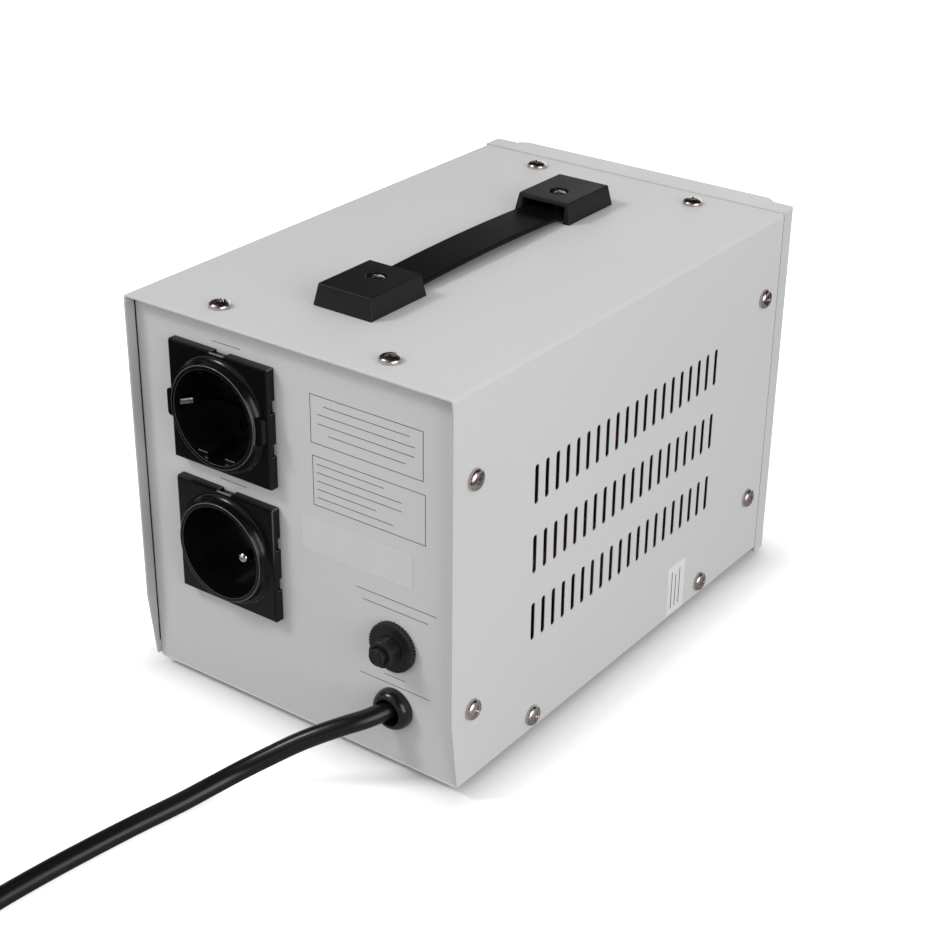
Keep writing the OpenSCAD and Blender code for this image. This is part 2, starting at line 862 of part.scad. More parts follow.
module power_rocker() {
    color("#202020") translate([-control_x, pivot_y, control_z]) rotate([rocker_tilt, 0, 0]) {
        along_x(-rocker_w / 2, rocker_w / 2) polygon([
            [-rocker_end_t, -rocker_half], [-rocker_mid_t, 0], [-rocker_end_t, rocker_half],
            [-rocker_pin_r, rocker_half], [rocker_back_t, rocker_back_half],
            [rocker_back_t, -rocker_back_half], [-rocker_pin_r, -rocker_half]
        ]);
        rod_x(rocker_pin_r, -rocker_w / 2 - rocker_pin_l, rocker_w / 2 + rocker_pin_l);
    }
}

// Delay button

delay_face_y = front_y - bezel_d - bezel_rise - delay_out;
delay_flange_y = front_y - bezel_d - bezel_rise + bezel_wall + delay_gap;
delay_body_y = delay_flange_y + delay_flange_t + delay_travel + delay_gap + delay_gap;

module delay_button() {
    color("#8a1f1a") translate([control_x, 0, control_z]) {
        rod_y(delay_r, delay_face_y, delay_flange_y + delay_flange_t);
        rod_y(delay_flange_r, delay_flange_y, delay_flange_y + delay_flange_t);
        rod_y(delay_stem_r, delay_flange_y, delay_body_y + delay_stem_in);
    }
}

module delay_switch() {
    half = delay_body_s / 2;
    stem_end = delay_body_y + delay_stem_in + delay_travel + delay_gap;
    color("#2b2b2b") translate([control_x, 0, control_z]) difference() {
        block([-half, delay_body_y, -half], [half, plate_front_y, half]);
        rod_y(delay_stem_hole_r, delay_body_y - over, min(stem_end, plate_front_y - fit));
    }
}

// Handle

module cap(toward) {
    half_l = cap_l / 2;
    half_w = cap_w / 2;
    mouth = toward * half_l;
    translate([0, -toward * cap_y + case_y, case_top]) difference() {
        polyhedron([
            [-half_w, -half_l, 0], [half_w, -half_l, 0], [half_w, half_l, 0], [-half_w, half_l, 0],
            [-half_w + cap_lean, -half_l + cap_lean, cap_h], [half_w - cap_lean, -half_l + cap_lean, cap_h],
            [half_w - cap_lean, half_l - cap_lean, cap_h], [-half_w + cap_lean, half_l - cap_lean, cap_h]
        ], [[0, 1, 2, 3], [7, 6, 5, 4], [4, 5, 1, 0], [5, 6, 2, 1], [6, 7, 3, 2], [7, 4, 0, 3]]);
        scale([1, toward, 1]) block([-cap_cavity_w / 2, -half_l + 2 * cap_wall, -over],
            [cap_cavity_w / 2, half_l + over, cap_cavity_h]);
        translate([0, toward * cap_screw_in, 0]) {
            cylinder(r = handle_screw_hole_r, h = cap_h + over);
            translate([0, 0, cap_h - cap_recess_d]) cylinder(r = cap_recess_r, h = cap_recess_d + over);
        }
    }
    translate([0, -toward * (cap_y - cap_screw_in) + case_y, case_top]) difference() {
        translate([0, 0, cap_cavity_h - cap_wall])
            cylinder(r = cap_recess_r + cap_wall / 2, h = cap_wall + fit);
        translate([0, 0, cap_h - cap_recess_d]) cylinder(r = cap_recess_r, h = cap_recess_d + over);
        cylinder(r = handle_screw_hole_r, h = cap_h + over);
    }
}

module rear_handle_cap() {
    color("#1b1b1b") cap(-1);
}

module front_handle_cap() {
    color("#1b1b1b") cap(1);
}

function strap_low(y) = strap_gap + strap_rise * (1 - pow(y / strap_half, 2));

module handle_strap() {
    step = 2 * strap_half / strap_steps;
    ys = [for (i = [0:strap_steps]) -strap_half + i * step];
    color("#1d1d1d") translate([0, case_y, case_top]) difference() {
        along_x(-strap_w / 2, strap_w / 2) polygon(concat(
            [for (y = ys) [y, strap_low(y)]],
            [for (i = [strap_steps:-1:0]) [ys[i], strap_low(ys[i]) + strap_t]]
        ));
        for (s = [-1, 1]) translate([0, s * (cap_y - cap_screw_in), -over])
            linear_extrude(cap_h) slot(2 * strap_hole_r, strap_hole_l);
    }
}

module handle_screws() {
    color("#c8bcb6") handle_places() translate([0, 0, case_top + cap_h - cap_recess_d])
        dome_screw(handle_screw_head_r, handle_screw_head_h, fit, handle_screw_r,
            cap_h - cap_recess_d + sheet + handle_screw_tail);
}

module handle_nuts() {
    color("#b5b5b5") handle_places() translate([0, 0, case_top - sheet - handle_nut_h])
        hex_nut(handle_nut_af, handle_nut_h, handle_screw_r + fit / 4);
}

// Sockets, drawn with their middle on the Y axis and the rear panel's face at Y = 0

module socket_shell(depth) {
    half = plate_s / 2;
    rim_r = well_r + rim_wall;
    difference() {
        union() {
            block([-half, 0, -half], [half, plate_t - plate_lip, half]);
            translate([0, plate_t - plate_lip, 0]) facing_rear() plate_front(half);
            facing_rear() rotate_extrude() polygon([
                [0, 0], [cone_r, 0], [cone_r, plate_t], [rim_r + rim_wall / 2, rim_h - rim_wall],
                [rim_r, rim_h - rim_wall / 2], [rim_r - rim_wall / 4, rim_h], [0, rim_h]
            ]);
            block([-tail_s / 2, -tail_d, -tail_s / 2], [tail_s / 2, 0, tail_s / 2]);
        }
        rod_y(well_r, rim_h - depth, rim_h + over);
        block([-notch_w / 2, -over / 4, half - notch_d], [notch_w / 2, plate_t + over, half + over]);
        for (x = [-1, 1]) for (z = [-1, 1]) translate([x * half, 0, z * side_notch_z])
            block([-notch_d, 0, -side_notch_w / 2], [notch_d, side_notch_t, side_notch_w / 2]);
    }
}

module plate_front(half) {
    edge = plate_lip / 2;
    inner = half - edge;
    polyhedron([
        [-half, -half, 0], [half, -half, 0], [half, half, 0], [-half, half, 0],
        [-inner, -inner, plate_lip], [inner, -inner, plate_lip],
        [inner, inner, plate_lip], [-inner, inner, plate_lip]
    ], [[0, 1, 2, 3], [7, 6, 5, 4], [4, 5, 1, 0], [5, 6, 2, 1], [6, 7, 3, 2], [7, 4, 0, 3]]);
}

module contact_places() {
    for (z = [-contact_gap, contact_gap]) translate([0, 0, z]) children();
}

module contact_cuts(depth) {
    seat_y = rim_h - depth - sleeve_skin;
    contact_places() {
        rod_y(contact_hole_r, -tail_d - over, rim_h - depth + over);
        rod_y(sleeve_r + fit / 4, -tail_d - over, seat_y);
    }
}

module sleeves(depth) {
    seat_y = rim_h - depth - sleeve_skin;
    color("#c9a55c") contact_places() difference() {
        rod_y(sleeve_r, -tail_d - sleeve_skin, seat_y);
        rod_y(sleeve_bore_r, seat_y - sleeve_l, seat_y + over);
    }
}

module at_clip_socket() {
    translate([socket_x, panel_y, socket_low_z + socket_pitch]) children();
}

module at_pin_socket() {
    translate([socket_x, panel_y, socket_low_z]) children();
}

clip_foot_y = rim_h - clip_well_d;
clip_slot_r = well_r + clip_slot;
guide_low = sqrt(well_r * well_r - guide_x * guide_x) - guide_t;

module clip_ears() {
    half = ear_h / 2;
    for (s = [-1, 1]) scale([s, 1, 1]) along_y(0, rim_h - ear_drop) polygon([
        [well_r + rim_wall / 2, -half], [ear_r - ear_chamfer, -half], [ear_r, -half + ear_chamfer],
        [ear_r, half - ear_chamfer], [ear_r - ear_chamfer, half], [well_r + rim_wall / 2, half]
    ]);
}

module clip_socket_body() {
    color("#1a1a1a") at_clip_socket() {
        difference() {
            union() {
                socket_shell(clip_well_d);
                clip_ears();
            }
            contact_cuts(clip_well_d);
            for (s = [-1, 1]) scale([s, 1, 1])
                block([well_r - clip_slot, clip_foot_y - sleeve_skin, -clip_w / 2 - fit],
                    [clip_slot_r, rim_h - clip_out, clip_w / 2 + fit]);
            block([-clip_slot_r, clip_foot_y - sleeve_skin, -clip_w / 2 - fit],
                [clip_slot_r, clip_foot_y + fit, clip_w / 2 + fit]);
        }
        for (x = [-guide_x, guide_x]) for (s = [-1, 1]) intersection() {
            rod_y(well_r + fit, clip_foot_y - fit, rim_h - guide_in);
            scale([1, 1, s]) block([x - guide_w / 2, clip_foot_y - over, guide_low],
                [x + guide_w / 2, rim_h, well_r + over]);
        }
    }
}

module clip_socket_earth_clips() {
    top_y = rim_h - clip_out - fit;
    low_y = clip_foot_y - sleeve_skin;
    out_x = clip_slot_r - fit;
    color("#cfc7c0") at_clip_socket() along_clip() polygon([
        [-out_x, low_y], [out_x, low_y], [out_x, top_y], [out_x - clip_t, top_y],
        [out_x - clip_slot - clip_stand, (top_y + clip_foot_y) / 2], [out_x - clip_t, low_y + 2 * clip_t],
        [-out_x + clip_t, low_y + 2 * clip_t], [-out_x + clip_slot + clip_stand, (top_y + clip_foot_y) / 2],
        [-out_x + clip_t, top_y], [-out_x, top_y]
    ]);
}

module along_clip() {
    translate([0, 0, -clip_w / 2]) linear_extrude(clip_w) difference() {
        children();
        clip_hollow();
    }
}

// What the bent strip leaves open behind each spring arm
module clip_hollow() {
    top_y = rim_h - clip_out - fit;
    low_y = clip_foot_y - sleeve_skin;
    out_x = clip_slot_r - fit;
    mid_y = (top_y + clip_foot_y) / 2;
    for (s = [-1, 1]) scale([s, 1]) polygon([
        [out_x + over, low_y + 3 * clip_t], [out_x - clip_t, low_y + 3 * clip_t],
        [out_x - clip_slot - clip_stand + clip_t, mid_y], [out_x - clip_t / 2, top_y - clip_t],
        [out_x + over, top_y - clip_t]
    ]);
}

module clip_socket_contacts() {
    at_clip_socket() sleeves(clip_well_d);
}

module pin_socket_body() {
    foot_y = rim_h - pin_well_d;
    color("#1a1a1a") at_pin_socket() difference() {
        socket_shell(pin_well_d);
        contact_cuts(pin_well_d);
        translate([-earth_pin_off, 0, 0]) {
            rod_y(earth_pin_r + fit / 4, foot_y - sleeve_skin - over, foot_y + over);
            rod_y(earth_pin_foot_r + fit / 4, -tail_d - over, foot_y - sleeve_skin);
        }
    }
}

module pin_socket_earth_pin() {
    foot_y = rim_h - pin_well_d;
    color("#cfc7c0") at_pin_socket() translate([-earth_pin_off, 0, 0]) {
        rod_y(earth_pin_r, foot_y - sleeve_skin - fit, foot_y + earth_pin_l - earth_pin_r);
        translate([0, foot_y + earth_pin_l - earth_pin_r, 0]) sphere(earth_pin_r);
        rod_y(earth_pin_foot_r, -tail_d - sleeve_skin, foot_y - sleeve_skin);
    }
}

module pin_socket_contacts() {
    at_pin_socket() sleeves(pin_well_d);
}

// Circuit breaker, drawn on the Y axis with the rear panel's face at Y = 0

module at_breaker() {
    translate([-fitting_x, panel_y, breaker_z]) children();
}

module breaker_body() {
    rings = floor((neck_out - nut_t) / thread_pitch) - 1;
    color("#1c1c1c") at_breaker() difference() {
        union() {
            rod_y(neck_r, -sheet - over, neck_out);
            block([-breaker_w / 2, -sheet - breaker_d, -breaker_h / 2], [breaker_w / 2, -sheet, breaker_h / 2]);
        }
        rod_y(neck_bore_r, neck_out - button_keep - button_travel - over, neck_out + over);
        for (i = [1:rings]) translate([0, nut_t + i * thread_pitch, 0]) facing_rear() rotate_extrude()
            polygon([
                [neck_r + over, -thread_pitch / 3], [neck_r - thread_d, 0], [neck_r + over, thread_pitch / 3]
            ]);
    }
}

module breaker_nut() {
    r = nut_d / 2;
    color("#161616") at_breaker() difference() {
        facing_rear() linear_extrude(nut_t) polygon([for (i = [0:2 * nut_teeth - 1])
            (r - (i % 2) * nut_tooth_d) * [cos(180 * i / nut_teeth), sin(180 * i / nut_teeth)]]);
        rod_y(neck_r + fit / 4, -over, nut_t + over);
        difference() {
            rod_y(nut_face_r, nut_t - fit, nut_t + over);
            rod_y(neck_r + over, nut_t - 2 * fit, nut_t + 2 * over);
        }
    }
}

module breaker_blades() {
    color("#c9a55c") at_breaker() for (z = [-blade_z, blade_z])
        block([-blade_t / 2, -sheet - breaker_d - blade_l, z - blade_w / 2],
            [blade_t / 2, -sheet - breaker_d, z + blade_w / 2]);
}

module reset_button() {
    color("#222222") at_breaker() difference() {
        rod_y(button_r, neck_out - button_keep - button_travel, button_out);
        difference() {
            rod_y(button_ring_r, button_out - button_ring_d, button_out + over);
            rod_y(button_ring_r - button_ring_w, button_out - 2 * button_ring_d, button_out + 2 * over);
        }
    }
}

// Mains lead

module cord_bush() {
    dome = [for (i = [0:6]) let (a = 90 * i / 6) [
        bush_mouth_r + (bush_flange_r - bush_mouth_r) * cos(a),
        bush_edge_h + (bush_dome_h - bush_edge_h) * sin(a)
    ]];
    color("#141414") translate([-fitting_x, panel_y, bush_z]) facing_rear() rotate_extrude() polygon(concat(
        [[bush_bore_r, -bush_tail], [bush_neck_r, -bush_tail], [bush_neck_r, 0], [bush_flange_r, 0]],
        dome,
        [[bush_bore_r, -bush_flare]]
    ));
}

module mains_cord() {
    color("#171717") tube(cord_points, cord_r, cord_sides);
}

// The coil winds inward on the ground, climbs a layer in half a turn, and winds out again on top
loop_half = loop_turns / 2;
cord_end = cord_points[len(cord_points) - 1];
function loop_radius(t) = loop_mid_r + loop_pitch * (abs(t - loop_half) - loop_half / 2);
loop_x = cord_end[0] + loop_radius(0);
loop_y = cord_end[1] + loop_straight;
function ease(x) = let (c = min(max(x, 0), 1)) c * c * (3 - 2 * c);
function loop_z(t) = loop_low_z
    + loop_layer * ease((t - loop_half) / loop_climb + 0.5)
    + (plug_r - loop_low_z - loop_layer) * ease((t - loop_turns + loop_rise_turns) / loop_rise_turns);
function loop_point(t) = let (a = loop_start_angle - 360 * t, r = loop_radius(t))
    [loop_x + r * cos(a), loop_y + r * sin(a), loop_z(t)];
loop_count = round(loop_turns * loop_rings);
loop_start = loop_point(0);
loop_finish = loop_point(loop_turns);
loop_path = concat(
    [[loop_start[0], loop_start[1] - loop_straight, loop_start[2]]],
    [for (i = [0:loop_count]) loop_point(i / loop_rings)],
    [[loop_finish[0], loop_finish[1] - loop_straight, loop_finish[2]]]
);

loop_gap = min([for (i = [0:len(loop_path) - 1 - loop_rings / 2])
    min([for (j = [i + loop_rings / 2:len(loop_path) - 1]) norm(loop_path[i] - loop_path[j])])]) - 2 * cord_r;
echo(least_gap_of_the_coil_to_itself_mm = loop_gap);

module cord_coil() {
    color("#171717") tube(loop_path, cord_r, loop_sides);
}

plug_y = loop_finish[1] - loop_straight;

module at_plug() {
    translate([loop_finish[0], plug_y, loop_finish[2]]) rotate([90, 0, 0]) children();
}

module plug_body() {
    grip_y = relief_l + plug_body_l - plug_face_l;
    end_y = relief_l + plug_body_l;
    rib = relief_l / (2 * relief_ribs + 1);
    color("#181818") at_plug() difference() {
        rotate_extrude() polygon(concat(
            [[0, 0]],
            [for (i = [0:2 * relief_ribs]) for (e = [0, 1]) [
                relief_r1 + (relief_r2 - relief_r1) * i / (2 * relief_ribs) - (i % 2) * relief_groove,
                (i + e) * rib
            ]],
            [[plug_neck_r, relief_l], [plug_neck_r, grip_y - plug_face_l / 2]],
            [[plug_r, grip_y], [plug_r, end_y], [0, end_y]]
        ));
        for (x = [-contact_gap, contact_gap]) translate([x, 0, end_y - plug_pin_root])
            cylinder(r = plug_pin_r + fit / 4, h = plug_pin_root + over);
        for (s = [-1, 1]) scale([1, s, 1])
            block([-plug_clip_w / 2 - fit, plug_r - 2 * plug_clip_t, end_y - plug_clip_l],
                [plug_clip_w / 2 + fit, plug_r + over, end_y + over]);
        translate([0, earth_pin_off, end_y - plug_hole_d]) cylinder(r = plug_hole_r, h = plug_hole_d + over);
    }
}

module plug_pins() {
    end_y = relief_l + plug_body_l;
    color("#cfcfcf") at_plug() for (x = [-contact_gap, contact_gap]) translate([x, 0, end_y - plug_pin_root]) {
        cylinder(r = plug_pin_r, h = plug_pin_root + plug_pin_l - plug_pin_r / 2);
        translate([0, 0, plug_pin_root + plug_pin_l - plug_pin_r / 2])
            cylinder(r1 = plug_pin_r, r2 = plug_pin_r / 2, h = plug_pin_r / 2);
    }
}

module plug_earth_contacts() {
    end_y = relief_l + plug_body_l;
    color("#c8b27a") at_plug() for (s = [-1, 1]) scale([1, s, 1])
        block([-plug_clip_w / 2, plug_r - 2 * plug_clip_t, end_y - plug_clip_l],
            [plug_clip_w / 2, plug_r - plug_clip_t, end_y]);
}

// Transformer

winding_z = floor_z + pad_t;

module at_transformer() {
    translate([0, case_y + coil_y, 0]) children();
}

module transformer_core() {
    low = winding_z + (coil_h - core_h) / 2;
    color("#6e7276") at_transformer() difference() {
        translate([0, 0, low]) cylinder(r = core_r2, h = core_h);
        translate([0, 0, low - over]) cylinder(r = core_r1, h = core_h + 2 * over);
    }
}

module transformer_winding() {
    low = (coil_h - core_h) / 2;
    color("#b3261e") at_transformer() translate([0, 0, winding_z]) rotate_extrude() difference() {
        rounded(coil_hole_r, coil_r, 0, coil_h, coil_round);
        translate([core_r1, low]) square([core_r2 - core_r1, core_h]);
    }
}

module transformer_pads() {
    color("#2a2a2a") at_transformer() for (z = [floor_z, winding_z + coil_h])
        translate([0, 0, z]) difference() {
            cylinder(r = pad_r, h = pad_t);
            translate([0, 0, -over]) cylinder(r = coil_hole_r, h = pad_t + 2 * over);
        }
}

module clamp_stud() {
    color("#b5b5b5") at_transformer() translate([0, 0, floor_z]) {
        cylinder(r = stud_r, h = 2 * pad_t + coil_h + dish_t + stud_top);
        cylinder(r = stud_weld_r, h = stud_weld_h);
    }
}

module clamp_dish() {
    z = winding_z + coil_h + pad_t;
    color("#c7c9c6") at_transformer() translate([0, 0, z]) rotate_extrude() polygon([
        [stud_hole_r, -dish_step], [dish_flat_r, -dish_step], [dish_flat_r + dish_step, 0],
        [dish_r, 0], [dish_r, dish_t],
        [dish_flat_r + dish_step - dish_t / 2, dish_t], [dish_flat_r - dish_t / 2, dish_t - dish_step],
        [stud_hole_r, dish_t - dish_step]
    ]);
}

clamp_seat_z = winding_z + coil_h + pad_t + dish_t - dish_step;

module clamp_washer() {
    color("#b5b5b5") at_transformer() translate([0, 0, clamp_seat_z]) difference() {
        cylinder(r = washer_r, h = washer_t);
        translate([0, 0, -over]) cylinder(r = stud_hole_r, h = washer_t + 2 * over);
    }
}

module clamp_nut() {
    color("#b5b5b5") at_transformer() translate([0, 0, clamp_seat_z + washer_t])
        hex_nut(clamp_nut_af, clamp_nut_h, stud_r + fit / 4);
}

// Control board, upright behind the front plate

board_y = plate_back_y + board_off;

module board_places() {
    for (x = [-1, 1]) for (z = [-1, 1])
        translate([x * (board_w / 2 - standoff_in), 0, board_z + z * (board_h / 2 - standoff_in)]) children();
}

module control_board() {
    color("#2c6b3f") difference() {
        block([-board_w / 2, board_y, board_z - board_h / 2],
            [board_w / 2, board_y + board_t, board_z + board_h / 2]);
        board_places() rod_y(board_screw_r + fit / 2, board_y - over, board_y + board_t + over);
    }
}

module board_standoffs() {
    color("#d6d0b8") board_places() difference() {
        rod_y(standoff_r, plate_back_y, board_y);
        rod_y(board_screw_r + fit / 4, board_y - board_screw_l, board_y + over);
        rod_y(board_screw_r + fit / 4, plate_back_y - over, plate_back_y + board_screw_l);
    }
}

module board_screws() {
    color("#b5b5b5") board_places() {
        translate([0, board_y + board_t, 0]) facing_rear()
            dome_screw(board_screw_head_r, board_screw_head_h, fit, board_screw_r, board_screw_l);
        translate([0, plate_front_y, 0]) rotate([90, 0, 0]) cylinder(r = board_screw_head_r, h = sheet);
        rod_y(board_screw_r, plate_front_y, plate_back_y + board_screw_l - sheet);
    }
}

module relays() {
    color("#2559a8") for (i = [0:relay_count - 1])
        translate([
            (i - (relay_count - 1) / 2) * relay_pitch, board_y + board_t, board_z + board_h / 2 - relay_drop
        ]) block([-relay_w / 2, 0, -relay_h / 2], [relay_w / 2, relay_d, relay_h / 2]);
}

module capacitors() {
    color("#1b2a4a") for (i = [0:cap_can_count - 1])
        translate([cap_can_x - i * cap_can_pitch, 0, board_z - board_h / 2 + cap_can_rise + cap_can_r])
            rod_y(cap_can_r, board_y + board_t, board_y + board_t + cap_can_l);
}

module terminal_block() {
    pitch = block_w / block_ways;
    color("#2f7d46") translate([-block_x, board_y + board_t, board_z - board_h / 2 + block_rise]) difference() {
        block([-block_w / 2, 0, 0], [block_w / 2, block_d, block_h]);
        for (i = [0:block_ways - 1]) translate([(i - (block_ways - 1) / 2) * pitch, 0, block_h / 2])
            rod_y(block_hole_r, block_d - block_hole_d, block_d + over);
    }
}

// Earth point on the base, near the lead

earth_x = case_w / 2 - earth_in;
earth_y = rear_y - earth_from_rear;

module at_earth() {
    translate([-earth_x, earth_y, floor_z]) children();
}

module earth_stud() {
    color("#c9a55c") at_earth() cylinder(r = earth_r, h = earth_l);
}

module earth_nut() {
    color("#c9a55c") at_earth() translate([0, 0, ring_t]) hex_nut(earth_nut_af, earth_nut_h, earth_r + fit / 4);
}

// Wires, each from one terminal to the next

block_hole_z = board_z - board_h / 2 + block_rise + block_h / 2;
block_face_y = board_y + board_t + block_d - block_hole_d;
block_pitch = block_w / block_ways;
breaker_back_y = panel_y - sheet - breaker_d - blade_l;
breaker_under_z = breaker_z - breaker_h / 2 - 3 * wire_r;
sleeve_back_y = panel_y - tail_d - sleeve_skin;
core_y = cord_points[0][1];
function block_hole_x(i) = -block_x + (i - (block_ways - 1) / 2) * block_pitch;
function core_at(i, y) =
    [-fitting_x + core_off * cos(core_angles[i]), y, bush_z + core_off * sin(core_angles[i])];
function in_case(shares) = [for (s = shares) [s[0] * case_w / 2, case_y + s[1] * case_d / 2, s[2] * case_top]];
function out_of_block(i) = [
    [block_hole_x(i), block_face_y, block_hole_z],
    [block_hole_x(i), block_face_y + 2 * wire_bend, block_hole_z]
];

module wire(p) {
    tube(p, wire_r, wire_sides);
}

module live_wire() {
    low = breaker_z - blade_z;
    high = breaker_z + blade_z;
    color("#c81e1e") {
        wire([
            core_at(0, core_y),
            core_at(0, core_y - wire_bend),
            [-fitting_x, panel_in_y - breaker_d, breaker_under_z],
            [-fitting_x, breaker_back_y - wire_bend, breaker_under_z],
            [-fitting_x, breaker_back_y - 2 * wire_bend, (breaker_under_z + low) / 2],
            [-fitting_x, breaker_back_y - wire_bend, low],
            [-fitting_x, breaker_back_y, low]
        ]);
        wire(concat(
            out_of_block(0),
            in_case(live_shares),
            [[-fitting_x, breaker_back_y - wire_bend, high], [-fitting_x, breaker_back_y, high]]
        ));
    }
}

module neutral_wire() {
    color("#2a4fb0") wire(concat(
        out_of_block(1),
        in_case(neutral_shares),
        [core_at(1, core_y - 2 * wire_bend), core_at(1, core_y)]
    ));
}

module earth_wire() {
    color("#8aa51e") {
        wire([
            core_at(2, core_y),
            core_at(2, core_y - wire_bend),
            [-fitting_x + wire_bend / 2, earth_y, bush_z - wire_bend],
            [-fitting_x + wire_bend / 2, earth_y, floor_z + 2 * wire_bend],
            [-earth_x + ring_r + wire_bend, earth_y, floor_z + wire_r + wire_bend / 2],
            [-earth_x + ring_r + wire_bend / 2, earth_y, floor_z + wire_r],
            [-earth_x + ring_r - ring_t, earth_y, floor_z + wire_r]
        ]);
        at_earth() difference() {
            cylinder(r = ring_r, h = ring_t);
            translate([0, 0, -over]) cylinder(r = earth_r + fit / 4, h = ring_t + 2 * over);
        }
    }
}

module output_wire() {
    end_z = socket_low_z + contact_gap;
    link_z = [socket_low_z - contact_gap, socket_low_z + socket_pitch - contact_gap];
    link_y = sleeve_back_y - 2 * wire_bend;
    color("#c81e1e") {
        wire(concat(
            out_of_block(block_ways - 1),
            in_case(output_shares),
            [[socket_x, sleeve_back_y - wire_bend, end_z], [socket_x, sleeve_back_y, end_z]]
        ));
        wire([
            [socket_x, sleeve_back_y, link_z[0]],
            [socket_x, sleeve_back_y - wire_bend, link_z[0]],
            [socket_x - wire_bend, link_y, link_z[0] + wire_bend],
            [socket_x - 2 * wire_bend, link_y, (link_z[0] + link_z[1]) / 2],
            [socket_x - wire_bend, link_y, link_z[1] - wire_bend],
            [socket_x, sleeve_back_y - wire_bend, link_z[1]],
            [socket_x, sleeve_back_y, link_z[1]]
        ]);
    }
}

cover();
chassis();
front_plate();
front_bezel();
display_window();
feet();
top_screws();
side_screws();
rear_handle_cap();
front_handle_cap();
handle_strap();
handle_screws();
handle_nuts();
clip_socket_body();
clip_socket_earth_clips();
clip_socket_contacts();
pin_socket_body();
pin_socket_earth_pin();
pin_socket_contacts();
breaker_body();
breaker_nut();
breaker_blades();
reset_button();
cord_bush();
mains_cord();
cord_coil();
plug_body();
plug_pins();
plug_earth_contacts();
rear_sticker();
side_sticker();
transformer_core();
transformer_winding();
transformer_pads();
clamp_stud();
clamp_dish();
clamp_washer();
clamp_nut();
control_board();
board_standoffs();
board_screws();
relays();
capacitors();
terminal_block();
display_board();
display_digits();
indicator_lamps();
bezel_screws();
switch_body();
switch_blades();
power_rocker();
delay_button();
delay_switch();
earth_stud();
earth_nut();
live_wire();
neutral_wire();
earth_wire();
output_wire();
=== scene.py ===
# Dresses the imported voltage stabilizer. Metres, +Z up, the display faces -Y and the sockets face +Y.
import math

import bmesh
import bpy
from mathutils import Matrix, Vector


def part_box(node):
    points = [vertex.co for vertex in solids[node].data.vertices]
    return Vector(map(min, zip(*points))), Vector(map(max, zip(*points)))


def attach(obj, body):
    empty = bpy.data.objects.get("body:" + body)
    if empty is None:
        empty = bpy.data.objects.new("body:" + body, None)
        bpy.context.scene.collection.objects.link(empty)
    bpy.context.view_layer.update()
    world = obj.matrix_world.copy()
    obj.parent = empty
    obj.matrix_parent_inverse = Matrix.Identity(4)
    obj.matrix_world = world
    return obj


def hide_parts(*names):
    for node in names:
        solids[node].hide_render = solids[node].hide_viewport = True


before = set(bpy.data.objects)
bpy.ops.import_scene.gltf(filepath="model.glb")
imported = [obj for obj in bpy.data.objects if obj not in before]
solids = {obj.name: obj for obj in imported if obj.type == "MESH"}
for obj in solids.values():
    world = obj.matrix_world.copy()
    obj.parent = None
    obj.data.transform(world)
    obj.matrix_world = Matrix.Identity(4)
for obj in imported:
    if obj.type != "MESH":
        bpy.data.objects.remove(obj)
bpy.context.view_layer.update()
scene = bpy.context.scene
scene.view_settings.view_transform = "Standard"

# Camera
# It stands behind the case, above it and to the left of its rear panel, and is turned a little
# about its own line of sight, as the photographer held it.
camera_turn = math.radians(215.798)
camera_rise = math.radians(27.479)
camera_roll = math.radians(0.75)
camera_target = Vector((0.001171, 0.001497, 0.064828))
camera_distance = 0.821254
camera_lens = 71.82

camera_back = Vector((
    math.sin(camera_turn) * math.cos(camera_rise),
    -math.cos(camera_turn) * math.cos(camera_rise),
    math.sin(camera_rise),
))
level_right = Vector((math.cos(camera_turn), math.sin(camera_turn), 0))
level_up = camera_back.cross(level_right)
camera_right = level_right * math.cos(camera_roll) + level_up * math.sin(camera_roll)
camera_up = level_up * math.cos(camera_roll) - level_right * math.sin(camera_roll)
camera_data = bpy.data.cameras.new("camera")
camera_data.lens = camera_lens
camera_data.sensor_width = 36
camera_data.clip_start = 0.01
camera = bpy.data.objects.new("camera", camera_data)
scene.collection.objects.link(camera)
camera.matrix_world = Matrix.Translation(camera_target + camera_back * camera_distance) @ Matrix((
    camera_right, camera_up, camera_back,
)).transposed().to_4x4()
scene.camera = camera

# Mains lead
# A round black PVC lead, 7.6 mm thick. It leaves the bush on the rear panel, drops to the ground and
# is wound up beside the case, out of the photograph, with its plug lying on the coil.
lead_radius = 0.0038
lead_floor = 0.0038
lead_route = [
    (-0.0480, 0.1100, 0.02900), (-0.0480, 0.1125, 0.02900), (-0.0474, 0.1190, 0.02880),
    (-0.0455, 0.1252, 0.02829), (-0.0425, 0.1310, 0.02731), (-0.0380, 0.1365, 0.02590),
    (-0.0315, 0.1426, 0.02300), (-0.0240, 0.1488, 0.01879), (-0.0165, 0.1562, 0.01380),
    (-0.0095, 0.1650, 0.00919), (-0.0040, 0.1760, 0.00579), (0.0000, 0.1900, 0.00410),
    (0.0040, 0.2080, 0.00380), (0.0075, 0.2280, 0.00380), (0.0105, 0.2480, 0.00380),
    (0.0127, 0.2680, 0.00380), (0.0138, 0.2880, 0.00380), (0.0140, 0.2980, 0.00380),
    (0.0140, 0.3080, 0.00380),
]
coil_middle_radius = 0.0436
coil_pitch = 0.0082
coil_turns = 4.5
coil_points_each_turn = 24
coil_layer = 0.0082
coil_climb = 0.5
coil_last_rise = 0.3
coil_end_height = 0.0184
coil_straight = 0.008


def ease(share):
    share = min(max(share, 0), 1)
    return share * share * (3 - 2 * share)


def coil_radius(turn):
    return coil_middle_radius + coil_pitch * (abs(turn - coil_turns / 2) - coil_turns / 4)


